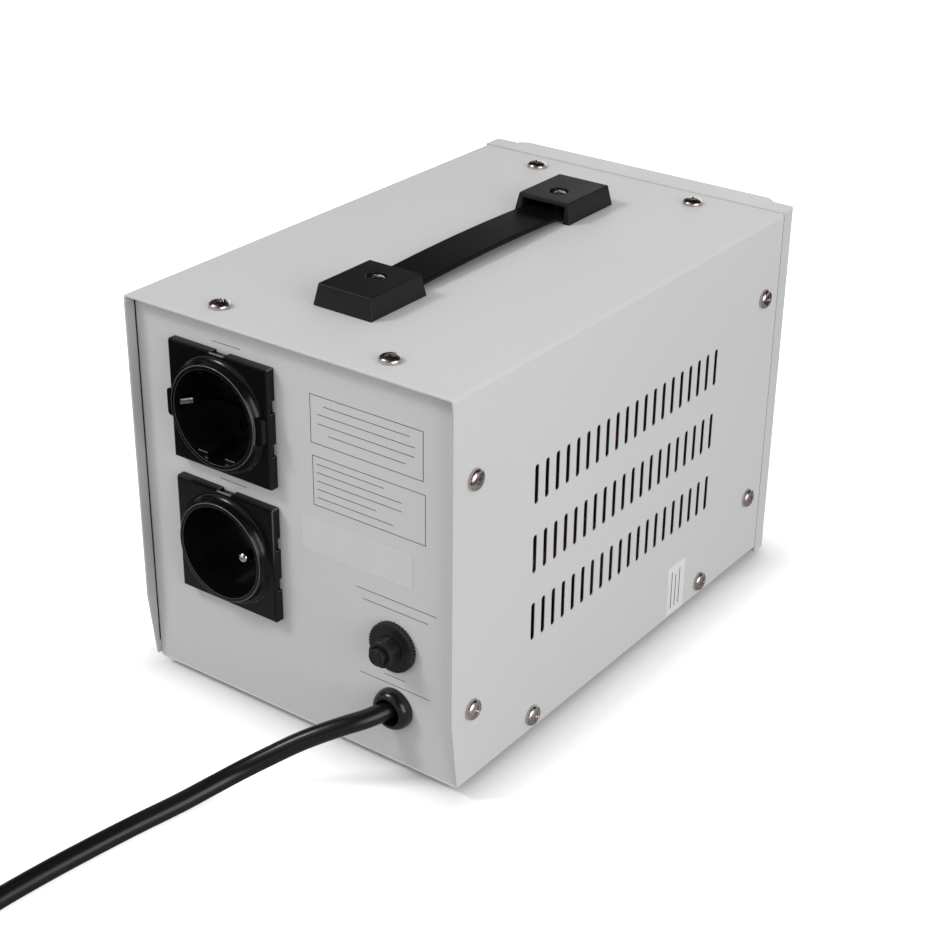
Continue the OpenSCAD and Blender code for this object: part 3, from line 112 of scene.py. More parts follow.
def coil_point(turn):
    angle = math.pi - math.tau * turn
    centre_x = lead_route[-1][0] + coil_radius(0)
    centre_y = lead_route[-1][1] + coil_straight
    height = lead_floor + coil_layer * ease((turn - coil_turns / 2) / coil_climb + 0.5)
    last_rise = coil_end_height - lead_floor - coil_layer
    height += last_rise * ease((turn - coil_turns + coil_last_rise) / coil_last_rise)
    return (
        centre_x + coil_radius(turn) * math.cos(angle),
        centre_y + coil_radius(turn) * math.sin(angle),
        height,
    )


mix_factor = 0
mix_first = 6
mix_second = 7
mix_result = 2


def feed(tree, socket, given):
    if isinstance(given, bpy.types.NodeSocket):
        tree.links.new(given, socket)
    else:
        socket.default_value = given


def worked_out(tree, kind, operation, *given):
    node = tree.nodes.new(kind)
    node.operation = operation
    for socket, value in zip(node.inputs, given):
        feed(tree, socket, value)
    return node.outputs["Vector" if kind == "ShaderNodeVectorMath" and operation != "LENGTH" else "Value"]


def ranged(tree, value, from_low, from_high, to_low=0.0, to_high=1.0):
    node = tree.nodes.new("ShaderNodeMapRange")
    for name, given in (
        ("Value", value), ("From Min", from_low), ("From Max", from_high), ("To Min", to_low),
        ("To Max", to_high),
    ):
        feed(tree, node.inputs[name], given)
    return node.outputs["Result"]


def colours_mixed(tree, factor, first, second, blend="MIX"):
    node = tree.nodes.new("ShaderNodeMix")
    node.data_type = "RGBA"
    node.blend_type = blend
    for index, given in ((mix_factor, factor), (mix_first, first), (mix_second, second)):
        feed(tree, node.inputs[index], given)
    return node.outputs[mix_result]


noise_low = 0.3
noise_high = 0.7
patch_detail = 4
grain_detail = 2
middle_share = 0.5


def surface_grain_group():
    group = bpy.data.node_groups.new("surface grain", "ShaderNodeTree")
    for name in ("Colour", "Patch Colour"):
        group.interface.new_socket(name, in_out="INPUT", socket_type="NodeSocketColor")
    for name in ("Patch Scale", "Grain Scale", "Roughness", "Spread", "Speckle"):
        group.interface.new_socket(name, in_out="INPUT", socket_type="NodeSocketFloat")
    group.interface.new_socket("Colour", in_out="OUTPUT", socket_type="NodeSocketColor")
    for name in ("Roughness", "Height"):
        group.interface.new_socket(name, in_out="OUTPUT", socket_type="NodeSocketFloat")
    given = group.nodes.new("NodeGroupInput").outputs
    result = group.nodes.new("NodeGroupOutput").inputs
    place = group.nodes.new("ShaderNodeTexCoord").outputs["Object"]
    noises = []
    for scale, detail in (("Patch Scale", patch_detail), ("Grain Scale", grain_detail)):
        noise = group.nodes.new("ShaderNodeTexNoise")
        noise.inputs["Detail"].default_value = detail
        group.links.new(place, noise.inputs["Vector"])
        group.links.new(given[scale], noise.inputs["Scale"])
        noises.append(noise.outputs["Fac"])
    patches, grain = noises
    spread_out = ranged(group, patches, noise_low, noise_high)
    tones = colours_mixed(group, spread_out, given["Colour"], given["Patch Colour"])
    darkest = worked_out(group, "ShaderNodeMath", "SUBTRACT", 1.0, given["Speckle"])
    speckle = ranged(group, grain, noise_low, noise_high, 1.0, darkest)
    feed(group, result["Colour"], colours_mixed(group, 1.0, tones, speckle, blend="MULTIPLY"))
    centred = worked_out(group, "ShaderNodeMath", "SUBTRACT", spread_out, middle_share)
    rough = worked_out(group, "ShaderNodeMath", "MULTIPLY_ADD", centred, given["Spread"], given["Roughness"])
    feed(group, result["Roughness"], rough)
    feed(group, result["Height"], grain)
    return group


surface_grain = surface_grain_group()
patch_share = 0.92


def finish(name, colour, patch_colour=None, rough=0.5, spread=0.08, patch_scale=25, grain_scale=2500,
           speckle=0.04, bump=0.15, depth=0.00005, metallic=0, specular=0.5):
    material = bpy.data.materials.new(name)
    material.use_nodes = True
    tree = material.node_tree
    shader = tree.nodes["Principled BSDF"]
    grain = tree.nodes.new("ShaderNodeGroup")
    grain.node_tree = surface_grain
    relief = tree.nodes.new("ShaderNodeBump")
    patch_colour = patch_colour or [value * patch_share for value in colour]
    for node, socket, given in (
        (shader, "Metallic", metallic), (shader, "Specular IOR Level", specular),
        (grain, "Colour", (*colour, 1)), (grain, "Patch Colour", (*patch_colour, 1)),
        (grain, "Patch Scale", patch_scale),
        (grain, "Grain Scale", grain_scale), (grain, "Roughness", rough), (grain, "Spread", spread),
        (grain, "Speckle", speckle), (relief, "Strength", bump), (relief, "Distance", depth),
        (shader, "Base Color", grain.outputs["Colour"]), (shader, "Roughness", grain.outputs["Roughness"]),
        (relief, "Height", grain.outputs["Height"]), (shader, "Normal", relief.outputs["Normal"]),
    ):
        feed(tree, node.inputs[socket], given)
    return material


black_pvc = finish(
    "black pvc sheath", (0.006, 0.006, 0.0063), rough=0.3, grain_scale=1400, bump=0.12, specular=0.4,
)
coil_steps = round(coil_turns * coil_points_each_turn)
coil_route = [coil_point(step / coil_points_each_turn) for step in range(coil_steps + 1)]
lead_end = (coil_route[-1][0], coil_route[-1][1] - coil_straight, coil_route[-1][2])
whole_route = lead_route + coil_route + [lead_end]
lead_curve = bpy.data.curves.new("mains_lead", "CURVE")
lead_curve.dimensions = "3D"
lead_curve.bevel_depth = lead_radius
lead_curve.bevel_resolution = 6
lead_curve.resolution_u = 5
lead_curve.use_fill_caps = True
lead_line = lead_curve.splines.new("BEZIER")
lead_line.bezier_points.add(len(whole_route) - 1)
for bezier_point, place in zip(lead_line.bezier_points, whole_route):
    bezier_point.co = place
    bezier_point.handle_left_type = "AUTO"
    bezier_point.handle_right_type = "AUTO"
lead_curve.materials.append(black_pvc)
mains_lead = bpy.data.objects.new("mains_lead", lead_curve)
scene.collection.objects.link(mains_lead)
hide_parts("mains_cord", "cord_coil")
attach(mains_lead, "case")

# Plug
# A round moulded plug with a ribbed strain relief, two round pins and an earth strip on each side.
# The body is one soft PVC moulding round the lead, and the metal parts are set in it.
merge_distance = 0.000002
flat_angle = math.radians(0.5)


def cleaned(shape):
    bmesh.ops.remove_doubles(shape, verts=shape.verts, dist=merge_distance)
    bmesh.ops.dissolve_limit(shape, angle_limit=flat_angle, verts=shape.verts, edges=shape.edges)
    bmesh.ops.recalc_face_normals(shape, faces=shape.faces)


def solid_copy(node):
    shape = bmesh.new()
    shape.from_mesh(solids[node].data)
    cleaned(shape)
    return shape


def set_down(name, shape, material, stands_for=(), body="case", crease=32):
    for face in shape.faces:
        face.smooth = True
    for edge in shape.edges:
        edge.smooth = edge.calc_face_angle(0) < math.radians(crease)
    mesh = bpy.data.meshes.new(name)
    shape.to_mesh(mesh)
    shape.free()
    mesh.materials.append(material)
    piece = bpy.data.objects.new(name, mesh)
    scene.collection.objects.link(piece)
    if stands_for:
        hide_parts(*stands_for)
    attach(piece, body)
    return piece


def soften(piece, width, segments=2, angle=32):
    edges = piece.modifiers.new("soft edges", "BEVEL")
    edges.width = width
    edges.segments = segments
    edges.limit_method = "ANGLE"
    edges.angle_limit = math.radians(angle)
    edges.use_clamp_overlap = False
    edges.harden_normals = True


def recoat(node, material):
    mesh = solids[node].data
    mesh.materials.clear()
    mesh.materials.append(material)


bright_nickel = finish(
    "bright nickel plate", (0.80, 0.745, 0.725), rough=0.1, spread=0.04, metallic=1, bump=0.03,
)
bright_brass = finish("bright brass", (0.72, 0.55, 0.25), rough=0.25, metallic=1, bump=0.05)
plug_shell = set_down("plug_shell", solid_copy("plug_body"), black_pvc, ["plug_body"])
plug_edge_round = 0.0004
soften(plug_shell, plug_edge_round)
recoat("plug_pins", bright_nickel)
recoat("plug_earth_contacts", bright_brass)

# Floor, light and reflections
# A pale studio: a wide white floor, a broad lamp high behind the case, one beside it, one low at each
# end, a small one for sparkle, and a grey card in black felt under a black dome, for reflections only.
floor_size = 40
# Painted shadow: round the case's foot the floor is painted darker and glows less.
painted_shadow_glow = 0.04
glow_far_off = 0.6
painted_shadow_reach = 0.036
floor_bounce = (0.30, 0.30, 0.30, 1)
painted_shadow_floor_colour = (0.76, 0.76, 0.76, 1)
floor_far_off = (0.9, 0.9, 0.9, 1)
world_level = 0.56
lamps = (
    ("key lamp", (0.36, 0.72, 0.59), 2.2, 2.6, 9.5, True),
    ("fill lamp", (-0.95, 0.20, 0.22), 1.8, 1.6, 29, True),
    ("front lamp", (0.20, -0.97, 0.10), 2.0, 1.6, 11, True),
    ("rear lamp", (0.30, 0.94, 0.16), 2.2, 1.8, 8.5, False),
    ("sparkle lamp", (0.50, 0.50, 0.71), 2.2, 0.4, 16, True),
)
ceiling_radius = 6
ceiling_columns = 32
ceiling_rings = 24
ceiling_low_share = 0.05
card_radius = 0.32
card_height = 0.0005
card_sides = 96
felt_shade = 0.02
card_shade = 0.35


def camera_sees(tree):
    path = tree.nodes.new("ShaderNodeLightPath").outputs
    direct = worked_out(tree, "ShaderNodeMath", "MAXIMUM", path["Is Camera Ray"], path["Is Glossy Ray"])
    return worked_out(tree, "ShaderNodeMath", "MAXIMUM", direct, path["Is Transmission Ray"])


case_low, case_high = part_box("chassis")
footprint_middle = (case_low.y + case_high.y) / 2
footprint_half_width = case_high.x
footprint_half_depth = (case_high.y - case_low.y) / 2
floor_shape = bmesh.new()
bmesh.ops.create_grid(floor_shape, x_segments=1, y_segments=1, size=floor_size / 2)
floor_mesh = bpy.data.meshes.new("floor")
floor_shape.to_mesh(floor_mesh)
floor_shape.free()
studio_floor = bpy.data.objects.new("studio_floor", floor_mesh)
scene.collection.objects.link(studio_floor)
floor_finish = bpy.data.materials.new("white floor")
floor_finish.use_nodes = True
floor_tree = floor_finish.node_tree
floor_shader = floor_tree.nodes["Principled BSDF"]
floor_shader.inputs["Roughness"].default_value = 1
floor_shader.inputs["Specular IOR Level"].default_value = 0
floor_shader.inputs["Emission Color"].default_value = (1, 1, 1, 1)
vector_sum = "ShaderNodeVectorMath"
floor_place = floor_tree.nodes.new("ShaderNodeTexCoord").outputs["Object"]
from_middle = worked_out(floor_tree, vector_sum, "SUBTRACT", floor_place, (0, footprint_middle, 0))
either_side = worked_out(floor_tree, vector_sum, "ABSOLUTE", from_middle)
past_edge = worked_out(
    floor_tree, vector_sum, "SUBTRACT", either_side, (footprint_half_width, footprint_half_depth, 1),
)
outside = worked_out(floor_tree, vector_sum, "MAXIMUM", past_edge, (0, 0, 0))
gap = worked_out(floor_tree, vector_sum, "LENGTH", outside)
seen = camera_sees(floor_tree)
# Painted shadow: the camera sees the floor darker and glowing less within a few centimetres of the footprint.
away = ranged(floor_tree, gap, 0.0, painted_shadow_reach)
floor_seen_with_painted_shadow = colours_mixed(floor_tree, away, painted_shadow_floor_colour, floor_far_off)
floor_colour = colours_mixed(floor_tree, seen, floor_bounce, floor_seen_with_painted_shadow)
glow = ranged(floor_tree, gap, 0.0, painted_shadow_reach, painted_shadow_glow, glow_far_off)
feed(floor_tree, floor_shader.inputs["Base Color"], floor_colour)
feed(
    floor_tree, floor_shader.inputs["Emission Strength"],
    worked_out(floor_tree, "ShaderNodeMath", "MULTIPLY", seen, glow),
)
floor_mesh.materials.append(floor_finish)

world = bpy.data.worlds.new("studio")
world.use_nodes = True
scene.world = world
world_tree = world.node_tree
sky = world_tree.nodes["Background"]
sky.inputs["Color"].default_value = (1, 1, 1, 1)
sky_level = ranged(world_tree, camera_sees(world_tree), 0.0, 1.0, world_level, 1.0)
feed(world_tree, sky.inputs["Strength"], sky_level)

for name, direction, distance, size, power, mirrored in lamps:
    lamp_data = bpy.data.lights.new(name, "AREA")
    lamp_data.shape = "SQUARE"
    lamp_data.size = size
    lamp_data.energy = power
    lamp = bpy.data.objects.new(name, lamp_data)
    scene.collection.objects.link(lamp)
    lamp.visible_glossy = mirrored
    towards = Vector(direction).normalized()
    turn = towards.to_track_quat("Z", "Y").to_matrix().to_4x4()
    lamp.matrix_world = Matrix.Translation(towards * distance) @ turn

ceiling_shape = bmesh.new()
bmesh.ops.create_uvsphere(
    ceiling_shape, u_segments=ceiling_columns, v_segments=ceiling_rings, radius=ceiling_radius,
)
low_part = [vertex for vertex in ceiling_shape.verts if vertex.co.z < ceiling_low_share * ceiling_radius]
bmesh.ops.delete(ceiling_shape, geom=low_part, context="VERTS")
card_shape = bmesh.new()
bmesh.ops.create_circle(card_shape, cap_ends=True, segments=card_sides, radius=card_radius)
surround_shape = bmesh.new()
bmesh.ops.create_circle(surround_shape, cap_ends=False, segments=card_sides, radius=card_radius)
ring = bmesh.ops.extrude_edge_only(surround_shape, edges=surround_shape.edges[:])["geom"]
for vertex in ring:
    if isinstance(vertex, bmesh.types.BMVert):
        vertex.co *= ceiling_radius / card_radius
for flat_shape in (card_shape, surround_shape):
    for vertex in flat_shape.verts:
        vertex.co.z = card_height


def reflected_sheet(name, shape, shade):
    matt = bpy.data.materials.new(name)
    matt.use_nodes = True
    matt_shader = matt.node_tree.nodes["Principled BSDF"]
    matt_shader.inputs["Base Color"].default_value = (shade, shade, shade, 1)
    matt_shader.inputs["Roughness"].default_value = 1
    matt_shader.inputs["Specular IOR Level"].default_value = 0
    mesh = bpy.data.meshes.new(name)
    shape.to_mesh(mesh)
    shape.free()
    mesh.materials.append(matt)
    sheet = bpy.data.objects.new(name, mesh)
    scene.collection.objects.link(sheet)
    sheet.visible_camera = False
    sheet.visible_diffuse = False
    sheet.visible_transmission = False
    sheet.visible_shadow = False


reflected_sheet("black_ceiling", ceiling_shape, felt_shade)
reflected_sheet("black_surround", surround_shape, felt_shade)
reflected_sheet("grey_card", card_shape, card_shade)

# Cover
# One sheet of 1 mm steel bent over the top and both sides, with three rows of twenty slots punched in
# each side. Pale grey powder coat with a fine texture. It is screwed to the base and the front plate.
def inside_case_group():
    group = bpy.data.node_groups.new("inside of the case", "ShaderNodeTree")
    for name in ("Half Width", "Front", "Rear", "Bottom", "Top"):
        group.interface.new_socket(name, in_out="INPUT", socket_type="NodeSocketFloat")
    group.interface.new_socket("Inside", in_out="OUTPUT", socket_type="NodeSocketFloat")
    given = group.nodes.new("NodeGroupInput").outputs
    axes = group.nodes.new("ShaderNodeSeparateXYZ")
    place = group.nodes.new("ShaderNodeTexCoord").outputs["Object"]
    group.links.new(place, axes.inputs["Vector"])
    inside = 1.0
    for value, limit, comparison in (
        (worked_out(group, "ShaderNodeMath", "ABSOLUTE", axes.outputs["X"]), "Half Width", "LESS_THAN"),
        (axes.outputs["Y"], "Front", "GREATER_THAN"), (axes.outputs["Y"], "Rear", "LESS_THAN"),
        (axes.outputs["Z"], "Bottom", "GREATER_THAN"), (axes.outputs["Z"], "Top", "LESS_THAN"),
    ):
        test = worked_out(group, "ShaderNodeMath", comparison, value, given[limit])
        inside = worked_out(group, "ShaderNodeMath", "MINIMUM", inside, test)
    result = group.nodes.new("NodeGroupOutput").inputs
    feed(group, result["Inside"], inside)
    return group


inside_case = inside_case_group()
# Colours for painted shade inside the case. The near-black one also draws a dark line at the cover's joint
# with the rear panel.
dark_primer_and_painted_shade = (0.020, 0.020, 0.021, 1)
inner_painted_shade = (0.46, 0.453, 0.453, 1)


# Mixes a colour into a material within a box. Used for painted shade inside the case, a dark line at the
# cover's rear joint and a painted highlight on the base's lowest bend.
def tint_inside_box(material, colour, half_width, front, rear, bottom, top):
    tree = material.node_tree
    shader = tree.nodes["Principled BSDF"]
    paint = shader.inputs["Base Color"].links[0].from_socket
    where = tree.nodes.new("ShaderNodeGroup")
    where.node_tree = inside_case
    for name, value in (
        ("Half Width", half_width), ("Front", front), ("Rear", rear), ("Bottom", bottom), ("Top", top),
    ):
        where.inputs[name].default_value = value
    feed(tree, shader.inputs["Base Color"], colours_mixed(tree, where.outputs["Inside"], paint, colour))


cover_paint = finish(
    "pale grey powder coat", (0.592, 0.592, 0.594), (0.576, 0.576, 0.578), rough=0.5, spread=0.06,
    patch_scale=9, grain_scale=1500, speckle=0.03, bump=0.22, depth=0.00006, specular=0.35,
)
cover_low, cover_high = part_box("cover")
cover_middle = (cover_low.y + cover_high.y) / 2
cover_bend = 0.0016
cover_sheet = 0.001
coat_depth = 0.00025
edge_margin = 0.006
lip_margin = 0.0044
# Painted shade: the cover's whole inner face is painted a darker grey, which shows on the lip behind the rear
# panel.
tint_inside_box(
    cover_paint, inner_painted_shade, cover_high.x - coat_depth, cover_low.y, cover_high.y + edge_margin,
    cover_low.z, cover_high.z - 2 * cover_bend,
)
# Painted shade: the inside of the cover is painted near-black so the slots look dark. It runs 0.6 mm past the
# rear panel's face, a dark line at the joint with the lip.
tint_inside_box(
    cover_paint, dark_primer_and_painted_shade, cover_high.x - coat_depth, cover_low.y + edge_margin, cover_high.y - lip_margin,
    cover_low.z + edge_margin, cover_high.z - 2 * cover_bend,
)
slot_pitch = 0.007
slot_columns = 20
slot_width = 0.0024
slot_height = 0.0164
slot_inset = 0.001
slot_rounding = 0.499
corners_of_a_frame = 12
weld_distance = 0.00001
place_digits = 5
slot_row_edges = (0.041, 0.071, 0.101, 0.131)
foot_step_height = 0.035
foot_step = 0.0035
slot_grid_front = cover_middle - slot_columns / 2 * slot_pitch
slot_lines = [slot_grid_front + slot_pitch * i for i in range(slot_columns + 1)]
lines_along = [cover_low.y, *slot_lines, cover_high.y]
lines_up = [cover_low.z, foot_step_height, *slot_row_edges, cover_high.z - cover_bend]

wall = bmesh.new()
bmesh.ops.create_grid(wall, x_segments=len(lines_along) - 1, y_segments=len(lines_up) - 1, size=1)
grid_columns = sorted({round(vertex.co.x, place_digits) for vertex in wall.verts})
grid_rows = sorted({round(vertex.co.y, place_digits) for vertex in wall.verts})
for vertex in wall.verts:
    column = grid_columns.index(round(vertex.co.x, place_digits))
    row = grid_rows.index(round(vertex.co.y, place_digits))
    step_back = foot_step if row == 0 and column == len(lines_along) - 1 else 0
    vertex.co = (cover_low.x, lines_along[column] - step_back, lines_up[row])
slot_cells = []
for face in wall.faces:
    middle = face.calc_center_median()
    in_columns = abs(middle.y - cover_middle) < slot_columns / 2 * slot_pitch
    if in_columns and slot_row_edges[0] < middle.z < slot_row_edges[-1]:
        slot_cells.append(face)
bmesh.ops.inset_individual(wall, faces=slot_cells, thickness=slot_inset)
slot_corners = []
for face in slot_cells:
    middle = face.calc_center_median()
    for vertex in face.verts:
        vertex.co.y = middle.y + math.copysign(slot_width / 2, vertex.co.y - middle.y)
        vertex.co.z = middle.z + math.copysign(slot_height / 2, vertex.co.z - middle.z)
        slot_corners.append(vertex)
slot_middles = [face.calc_center_median() for face in slot_cells]
bmesh.ops.bevel(
    wall, geom=slot_corners, offset=slot_width * slot_rounding, offset_type="OFFSET", segments=5, profile=0.5,
    affect="VERTICES", material=-1,
)
for vertex in wall.verts:
    vertex.co.x = cover_low.x
slot_faces = []
for face in wall.faces:
    off_slot = min((face.calc_center_bounds() - middle).length for middle in slot_middles)
    if len(face.verts) > corners_of_a_frame and off_slot < slot_inset / 2:
        slot_faces.append(face)
bmesh.ops.delete(wall, geom=slot_faces, context="FACES")
bend_edges = [
    edge for edge in wall.edges
    if all(abs(vertex.co.z - lines_up[-1]) < weld_distance for vertex in edge.verts)
]
bend = bmesh.ops.spin(
    wall, geom=bend_edges, cent=(cover_low.x + cover_bend, 0, cover_high.z - cover_bend), axis=(0, 1, 0),
    angle=math.pi / 2, steps=6,
)
top_edges = [item for item in bend["geom_last"] if isinstance(item, bmesh.types.BMEdge)]
top_half = bmesh.ops.extrude_edge_only(wall, edges=top_edges)
for item in top_half["geom"]:
    if isinstance(item, bmesh.types.BMVert):
        item.co.x = 0
whole_wall = wall.verts[:] + wall.edges[:] + wall.faces[:]
bmesh.ops.mirror(wall, geom=whole_wall, merge_dist=weld_distance, axis="X")
bmesh.ops.remove_doubles(wall, verts=wall.verts, dist=weld_distance)
bmesh.ops.recalc_face_normals(wall, faces=wall.faces)
highest_face = max(wall.faces, key=lambda face: face.calc_center_median().z)
if highest_face.normal.z < 0:
    bmesh.ops.reverse_faces(wall, faces=wall.faces)
case_cover = set_down("case_cover", wall, cover_paint, ["cover"])
cover_thickness = case_cover.modifiers.new("sheet", "SOLIDIFY")
cover_thickness.thickness = cover_sheet
cover_thickness.offset = -1
cover_edge_round = 0.00018
cover_soft_angle = 50
soften(case_cover, cover_edge_round, angle=cover_soft_angle)

# Base and rear panel
# One bent steel sheet makes the base, the lips along its sides and the rear panel. It has the same powder
# coat, is painted near-black inside as painted shade, and has a lighter painted highlight along its lowest
# bend.
base_paint = finish(
    "grey powder coat", (0.562, 0.562, 0.564), (0.544, 0.544, 0.546), rough=0.5, spread=0.06,
    patch_scale=9, grain_scale=1500, speckle=0.03, bump=0.22, depth=0.00006, specular=0.35,
)
panel_recess = 0.005
panel_face = cover_high.y - panel_recess
bend_painted_highlight = (0.86, 0.86, 0.86, 1)
bend_highlight_from = 0.0001
bend_highlight_to = 0.0022
# Painted shade: the inside of the base and rear panel is painted near-black.
tint_inside_box(
    base_paint, dark_primer_and_painted_shade, cover_high.x - cover_sheet - coat_depth, cover_low.y, panel_face - coat_depth,
    cover_low.z + cover_sheet, cover_high.z,
)
# Painted highlight: the base's lowest bend is painted much lighter, where light from the floor would fall.
tint_inside_box(
    base_paint, bend_painted_highlight, cover_high.x, cover_low.y, cover_high.y, case_low.z + bend_highlight_from,
    case_low.z + bend_highlight_to,
)
# Painted shade: the front plate, seen through the slots, is painted near-black.
front_plate_shade = finish(
    "front plate painted dark as shade", (0.035, 0.035, 0.037), (0.028, 0.028, 0.030), rough=0.5, patch_scale=60,
)
recoat("chassis", base_paint)
recoat("front_plate", front_plate_shade)

# Cover screws
# Domed machine screws with a cross recess, plated and slightly pink. Each has a low upright rim under
# its dome. Four hold the top, and six hold each side.
screw_chrome = finish(
    "screw plating", (0.60, 0.525, 0.51), rough=0.27, spread=0.1, metallic=1, patch_scale=300, bump=0.1,
)
screw_radius = 0.0043
screw_height = 0.0026
screw_rim = 0.0006
screw_shank_radius = 0.002
screw_shank = 0.007
dome_fullness = 0.82
dome_steps = 14
turned_weld = 0.000005
cross_length = 0.005
cross_width = 0.001
cross_depth = 0.0015
cross_low_length = 0.00225
cross_low_width = 0.00062
cross_above = 0.0003


def cut_away(shape, cutter, operation="DIFFERENCE"):
    placed = []
    for name, part in (("cut shape", shape), ("cutter", cutter)):
        mesh = bpy.data.meshes.new(name)
        part.to_mesh(mesh)
        part.free()
        holder = bpy.data.objects.new(name, mesh)
        scene.collection.objects.link(holder)
        placed.append(holder)
    cut = placed[0].modifiers.new("cut", "BOOLEAN")
    cut.operation = operation
    cut.solver = "EXACT"
    cut.object = placed[1]
    graph = bpy.context.evaluated_depsgraph_get()
    left = bpy.data.meshes.new_from_object(placed[0].evaluated_get(graph))
    result = bmesh.new()
    result.from_mesh(left)
    cleaned(result)
    for holder in placed:
        bpy.data.objects.remove(holder)
    return result


def turned(profile, steps=48):
    shape = bmesh.new()
    rim = [shape.verts.new((radius, 0, height)) for radius, height in profile]
    for first, second in zip(rim, rim[1:]):
        shape.edges.new((first, second))
    bmesh.ops.spin(
        shape, geom=shape.verts[:] + shape.edges[:], cent=(0, 0, 0), axis=(0, 0, 1), angle=math.tau,
        steps=steps, use_merge=True,
    )
    bmesh.ops.remove_doubles(shape, verts=shape.verts, dist=turned_weld)
    bmesh.ops.recalc_face_normals(shape, faces=shape.faces)
    return shape


def dome_screw(radius, height, rim, shank_radius, shank):
    angles = [math.pi / 2 * step / dome_steps for step in range(dome_steps + 1)]
    dome = [
        (radius * math.cos(angle) ** dome_fullness, rim + (height - rim) * math.sin(angle) ** dome_fullness)
        for angle in angles
    ]
    profile = [(0, -shank), (shank_radius, -shank), (shank_radius, 0), (radius, 0), *dome]
    head = turned(profile)
    for angle in (0, math.pi / 2):
        cross = bmesh.new()
        arm = bmesh.ops.create_cube(cross, size=1)["verts"]
        for vertex in arm:
            is_low = vertex.co.z < 0
            vertex.co.x *= cross_low_length if is_low else cross_length
            vertex.co.y *= cross_low_width if is_low else cross_width
            vertex.co.z = height - cross_depth if is_low else height + cross_above
        bmesh.ops.rotate(cross, verts=arm, cent=(0, 0, 0), matrix=Matrix.Rotation(angle, 3, "Z"))
        bmesh.ops.recalc_face_normals(cross, faces=cross.faces)
        head = cut_away(head, cross)
    return head


def copies_at(shape, places):
    whole = bmesh.new()
    mesh = bpy.data.meshes.new("pattern")
    shape.to_mesh(mesh)
    shape.free()
    for place in places:
        before = len(whole.verts)
        whole.from_mesh(mesh)
        whole.verts.ensure_lookup_table()
        bmesh.ops.transform(whole, matrix=place, verts=whole.verts[before:])
    bpy.data.meshes.remove(mesh)
    return whole


top_screw_x = 0.041
top_screw_in = 0.013
side_screw_in = 0.0125
side_screw_heights = (0.0370, 0.1345)
low_screw_reach = 0.0655
low_screw_height = 0.0120
screw_crease = 25
screw_edge_round = 0.00012
screw_soft_angle = 40
top_first_turn = 0.4
top_next_turn = 0.9
side_first_turn = 0.3
side_next_turn = 1.1
top_places = []
side_places = []
for turn, (side, along) in enumerate(((-1, -1), (-1, 1), (1, -1), (1, 1))):
    along_y = cover_low.y + top_screw_in if along < 0 else cover_high.y - top_screw_in
    top_places.append(
        Matrix.Translation((side * top_screw_x, along_y, cover_high.z))
        @ Matrix.Rotation(top_first_turn + top_next_turn * turn, 4, "Z")
    )
for side in (-1, 1):
    spots = [
        (cover_low.y + side_screw_in, height) for height in side_screw_heights
    ] + [
        (cover_high.y - side_screw_in, height) for height in side_screw_heights
    ] + [
        (cover_middle - low_screw_reach, low_screw_height), (cover_middle + low_screw_reach, low_screw_height)
    ]
    for turn, (along_y, height) in enumerate(spots):
        side_places.append(
            Matrix.Translation((side * cover_high.x, along_y, height))
            @ Matrix.Rotation(side * math.pi / 2, 4, "Y")
            @ Matrix.Rotation(side_first_turn + side_next_turn * turn, 4, "Z")
        )
for name, node, places in (
    ("top_dome_screws", "top_screws", top_places), ("side_dome_screws", "side_screws", side_places),
):
    head = dome_screw(screw_radius, screw_height, screw_rim, screw_shank_radius, screw_shank)
    heads = copies_at(head, places)
    screws = set_down(name, heads, screw_chrome, [node], crease=screw_crease)
    soften(screws, screw_edge_round, angle=screw_soft_angle)

# Handle
# Two black moulded end caps are screwed through the top, and a soft plastic strap arches between them.
# The slots in its ends, by which it can rise, are hidden in the caps and aren't cut in this mesh.
cap_plastic = finish(
    "fine grained black plastic", (0.0068, 0.0068, 0.0071), (0.008, 0.008, 0.0083), rough=0.45,
    grain_scale=1500, bump=0.35, depth=0.00008, specular=0.22,
)
strap_plastic = finish(
    "soft black strap", (0.0035, 0.0035, 0.0037), rough=0.5, grain_scale=1700, bump=0.2, specular=0.12,
)
zinc = finish(
    "zinc plate", (0.62, 0.62, 0.61), (0.52, 0.53, 0.54), rough=0.32, metallic=1, patch_scale=120,
)
cap_edge_round = 0.0005
for node, name in (("rear_handle_cap", "rear_cap"), ("front_handle_cap", "front_cap")):
    cap = set_down(name, solid_copy(node), cap_plastic, [node])
    soften(cap, cap_edge_round, segments=3)
strap_low, strap_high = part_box("handle_strap")
strap_half = (strap_high.y - strap_low.y) / 2
strap_middle = (strap_high.y + strap_low.y) / 2
strap_thickness = 0.0021
strap_rise = 0.0024
strap_clearance = 0.0003
strap_columns = 6
strap_rows = 48
strap_edge_round = 0.0008
strap = bmesh.new()
bmesh.ops.create_grid(strap, x_segments=strap_columns, y_segments=strap_rows, size=1)
for vertex in strap.verts:
    share = vertex.co.y
    vertex.co = (
        vertex.co.x * strap_high.x,
        strap_middle + share * strap_half,
        cover_high.z + strap_clearance + strap_rise * (1 - share * share) + strap_thickness,
    )
strap_piece = set_down("strap", strap, strap_plastic, ["handle_strap"])
strap_body = strap_piece.modifiers.new("thickness", "SOLIDIFY")
strap_body.thickness = strap_thickness
strap_body.offset = -1
soften(strap_piece, strap_edge_round, segments=3, angle=screw_soft_angle)
handle_screw_radius = 0.0038
handle_screw_height = 0.0022
handle_screw_rim = 0.0004
handle_screw_reach = 0.062
handle_screw_rise = 0.0066
handle_screw_seat = cover_high.z + handle_screw_rise
handle_screw_shank = 0.0126
handle_first_turn = 0.5
handle_places = [
    Matrix.Translation((0, cover_middle + side * handle_screw_reach, handle_screw_seat))
    @ Matrix.Rotation(handle_first_turn + side, 4, "Z") for side in (-1, 1)
]
